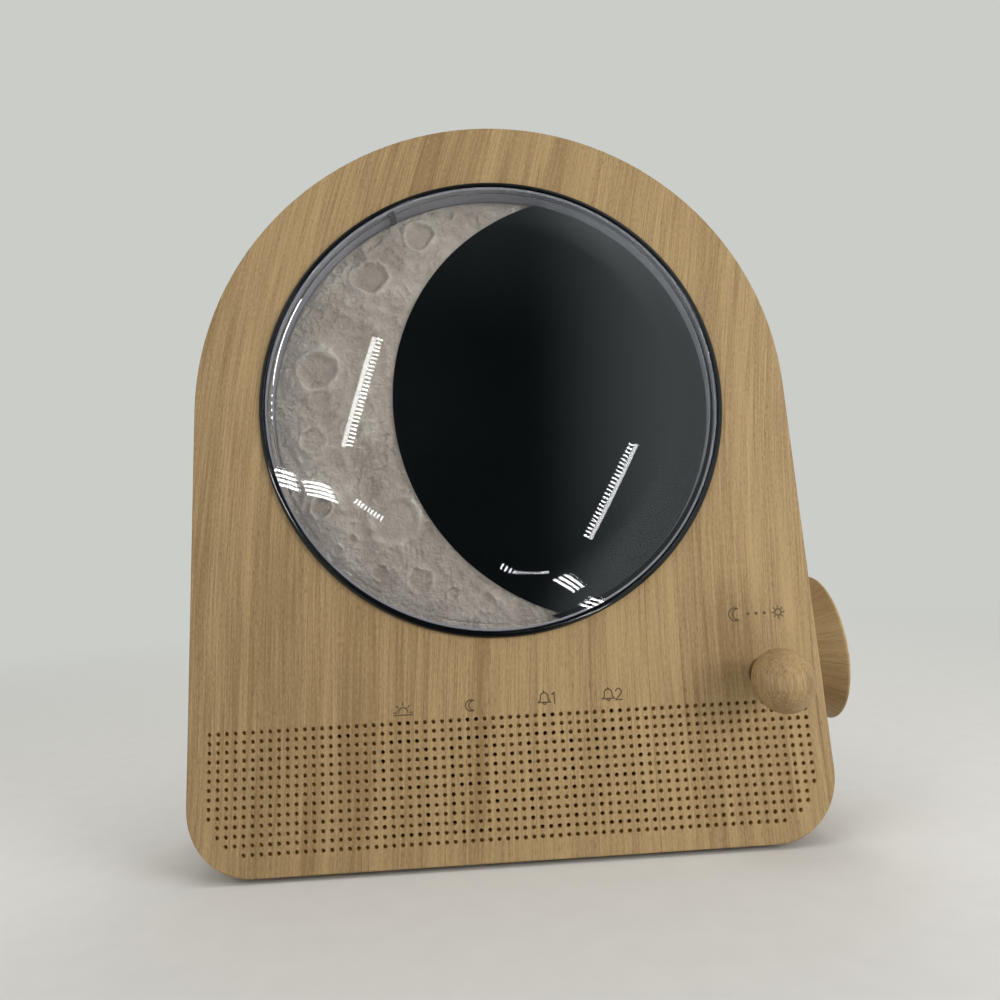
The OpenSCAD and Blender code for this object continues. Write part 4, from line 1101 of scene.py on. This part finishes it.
studio = {
    "backdrop": srgb("CBCDC8"),
    "fill": 0.55,           # light from all round on matt surfaces
    "dark": 0.018,          # what gloss sees straight in front
    "sideGlow": 0.62,       # what it sees to the sides
    "topGlow": 0.24,        # and above
    "leftRise": (0.3, 0.7), "rightRise": (0.12, 0.48), "topRise": (0.3, 0.8),   # where each glow sets in
    "backRise": (-0.35, 0.15),      # where the pale backdrop sets in
    "floorColour": srgb("CFCECA"),
    "floorRough": 0.8, "floorShine": 0.1,
    "floorSteps": 96, "floorRings": (0.3, 0.7, 1.4, 3.0),       # radii in metres
    "fadeFrom": 0.12, "fadeTo": 0.8,        # radii between which it turns into the backdrop
}


def mirrorRays(rays):
    # seen in gloss or through glass, and not by light on its way to a matt surface
    mirror = larger(rays.outputs["Is Glossy Ray"], rays.outputs["Is Transmission Ray"])
    return times(mirror, below(rays.outputs["Diffuse Depth"], 0.5))


def makeWorld():
    world = bpy.data.worlds.new("studio")
    scene.world = world
    world.use_nodes = True
    tree = world.node_tree
    rays = newNode("ShaderNodeLightPath", {}, tree)
    coords = newNode("ShaderNodeTexCoord", {}, tree)
    x, y, z = split(coords.outputs["Generated"])
    # gloss and glass see the pale backdrop behind the clock and a dark room in front of it
    look = studio
    left = mapRange(times(x, -1.0), *look["leftRise"], 0.0, look["sideGlow"] * 0.7, True)
    side = plus(left, mapRange(x, *look["rightRise"], 0.0, look["sideGlow"], True))
    room = plus(side, mapRange(z, *look["topRise"], look["dark"], look["topGlow"], True))
    front = joined(times(room, 0.9), room, times(room, 1.02))
    gloss = mixColour(mapRange(y, *look["backRise"], 0.0, 1.0, True), front, look["backdrop"])
    fill = (look["fill"], look["fill"], look["fill"] * 0.985)
    seen = mixColour(mirrorRays(rays), fill, gloss)
    seen = mixColour(rays.outputs["Is Camera Ray"], seen, look["backdrop"])
    feed(tree.nodes["Background"], {"Color": seen})


makeWorld()


def makeFloor():
    count, rings = studio["floorSteps"], studio["floorRings"]
    verts = [(0, 0, 0)]
    for r in rings:
        verts += [(*polar(r, 2 * math.pi * k / count), 0) for k in range(count)]
    faces = [(0, 1 + k, 1 + (k + 1) % count) for k in range(count)]
    for i in range(len(rings) - 1):
        for k in range(count):
            a, b = 1 + i * count + k, 1 + i * count + (k + 1) % count
            faces.append((a, a + count, b + count, b))
    floor = newMesh("paleFloor", verts, faces)
    material, shader, coords = newMaterial("paleFloor")
    place = coords["Object"]
    far = newNode("ShaderNodeVectorMath", {0: place}, operation="LENGTH").outputs["Value"]
    patch = noiseNode(place, 140.0, 2.0)
    inputs = {0: studio["floorColour"], "Scale": mapRange(patch, 0.3, 0.7, 0.985, 1.015)}
    base = newNode("ShaderNodeVectorMath", inputs, operation="SCALE")
    feed(shader, {"Base Color": base, "Roughness": studio["floorRough"],
                  "Specular IOR Level": studio["floorShine"]})
    glow = newNode("ShaderNodeEmission", {"Color": studio["backdrop"]}, material.node_tree)
    fade = mapRange(far, studio["fadeFrom"], studio["fadeTo"], 0.0, 1.0, True)
    mix = newNode("ShaderNodeMixShader", {"Fac": fade, 1: shader, 2: glow})
    # gloss doesn't show the floor, so that the dome stays dark as in a dim room
    rays = newNode("ShaderNodeLightPath", {}, material.node_tree)
    clear = newNode("ShaderNodeBsdfTransparent", {}, material.node_tree)
    faint = newNode("ShaderNodeMixShader", {"Fac": mirrorRays(rays), 1: mix, 2: clear})
    feed(material.node_tree.nodes["Material Output"], {"Surface": faint})
    floor.data.materials.append(material)


makeFloor()

# soft lamps: place in mm from the foot's middle, width and height in mm, watts
softLamps = {
    "keyRight": ((450, -450, 210), (300, 300), 1.85),
    "fillLeft": ((-480, -420, 420), (400, 400), 1.05),
    "fillBack": ((150, 650, 650), (500, 500), 2.0),
    "topLight": ((0, -160, 800), (500, 260), 1.3),
    "lowRight": ((400, -350, 170), (200, 120), 0.4),
}
# slender lights that only gloss shows: start and end (x, depth, height over the case's underside), width,
# radiance, count of rungs, count of lines
stripLamps = {
    "stripLeft": ((-239, -923, 460), (-332, -957, 186), 29, 30.0, 28, 0),
    "stripRight": ((263, -965, -71), (393, -936, 161), 24, 30.0, 25, 0),
    "stripLow": ((42, -985, -131), (182, -950, -213), 15, 30.0, 14, 1),
    "stripLower": ((232, -910, -301), (344, -777, -484), 60, 28.0, 0, 3),
    "stripLowest": ((400, -643, -611), (507, -475, -682), 80, 28.0, 0, 3),
    "stripFarLeft": ((-960, -419, -2), (-764, -694, -14), 90, 28.0, 0, 4),
    "stripMidLeft": ((-702, -751, -23), (-440, -919, 30), 70, 28.0, 0, 4),
    "stripNearLeft": ((-315, -964, 51), (-246, -978, -1), 12, 28.0, 9, 1),
}


def addLamp(name, size, power):
    data = bpy.data.lights.new(name, "AREA")
    data.shape = "RECTANGLE"
    data.size, data.size_y = size[0] * mm, size[1] * mm
    data.energy = power
    lamp = bpy.data.objects.new(name, data)
    scene.collection.objects.link(lamp)
    lamp.visible_camera = False
    return lamp


stripLook = {
    "lineCut": -0.1, "rungCut": 0.4,        # where the wave is cut, so how wide lines and rungs are
    "rungsFrom": 0.46, "restTo": 0.4, "restGlow": 0.26,     # the rungs' half, the plain half and its glow
}


def stripPattern(lamp, rungs, lines):
    # lines alone run along the strip; rungs alone cross one half of it; with both, rungs cross all of it
    lamp.data.use_nodes = True
    tree = lamp.data.node_tree
    spot = newNode("ShaderNodeNewGeometry", {}, tree)
    look = stripLook
    along, across = split(spot.outputs["Parametric"])[:2]
    if lines and not rungs:
        wave = sine(times(across, 2 * math.pi * lines))
        glow = above(wave, look["lineCut"])
    else:
        wave = sine(times(along, 2 * math.pi * rungs))
        glow = above(wave, look["rungCut"])
        if not lines:
            half = above(across, look["rungsFrom"])
            rest = times(below(across, look["restTo"]), look["restGlow"])
            glow = plus(times(glow, half), rest)
    feed(tree.nodes["Emission"], {"Strength": glow})


def makeLamps():
    for name, (place, size, power) in softLamps.items():
        lamp = addLamp(name, size, power)
        at = Vector(place) * mm
        aim = (Vector((0, 0, 0.09)) - at).to_track_quat("-Z", "Y").to_matrix().to_4x4()
        aim.translation = at
        lamp.matrix_world = aim
        lamp.visible_glossy = False
        lamp.visible_transmission = False
    target = Vector((0, faceY, archZ))
    for name, (start, end, width, radiance, rungs, lines) in stripLamps.items():
        a, b = casePoint(*start), casePoint(*end)
        along = (b - a).normalized()
        back = (a + b) / 2 - target
        back = (back - along * back.dot(along)).normalized()
        area = (b - a).length * width * mm
        lamp = addLamp(name, ((b - a).length / mm, width), radiance * math.pi * area)
        pose = Matrix((along, back.cross(along), back)).transposed().to_4x4()
        pose.translation = (a + b) / 2
        lamp.matrix_world = pose
        lamp.visible_diffuse = False
        stripPattern(lamp, rungs, lines)


makeLamps()
scene.view_settings.view_transform = "Standard"
print("scene ready")
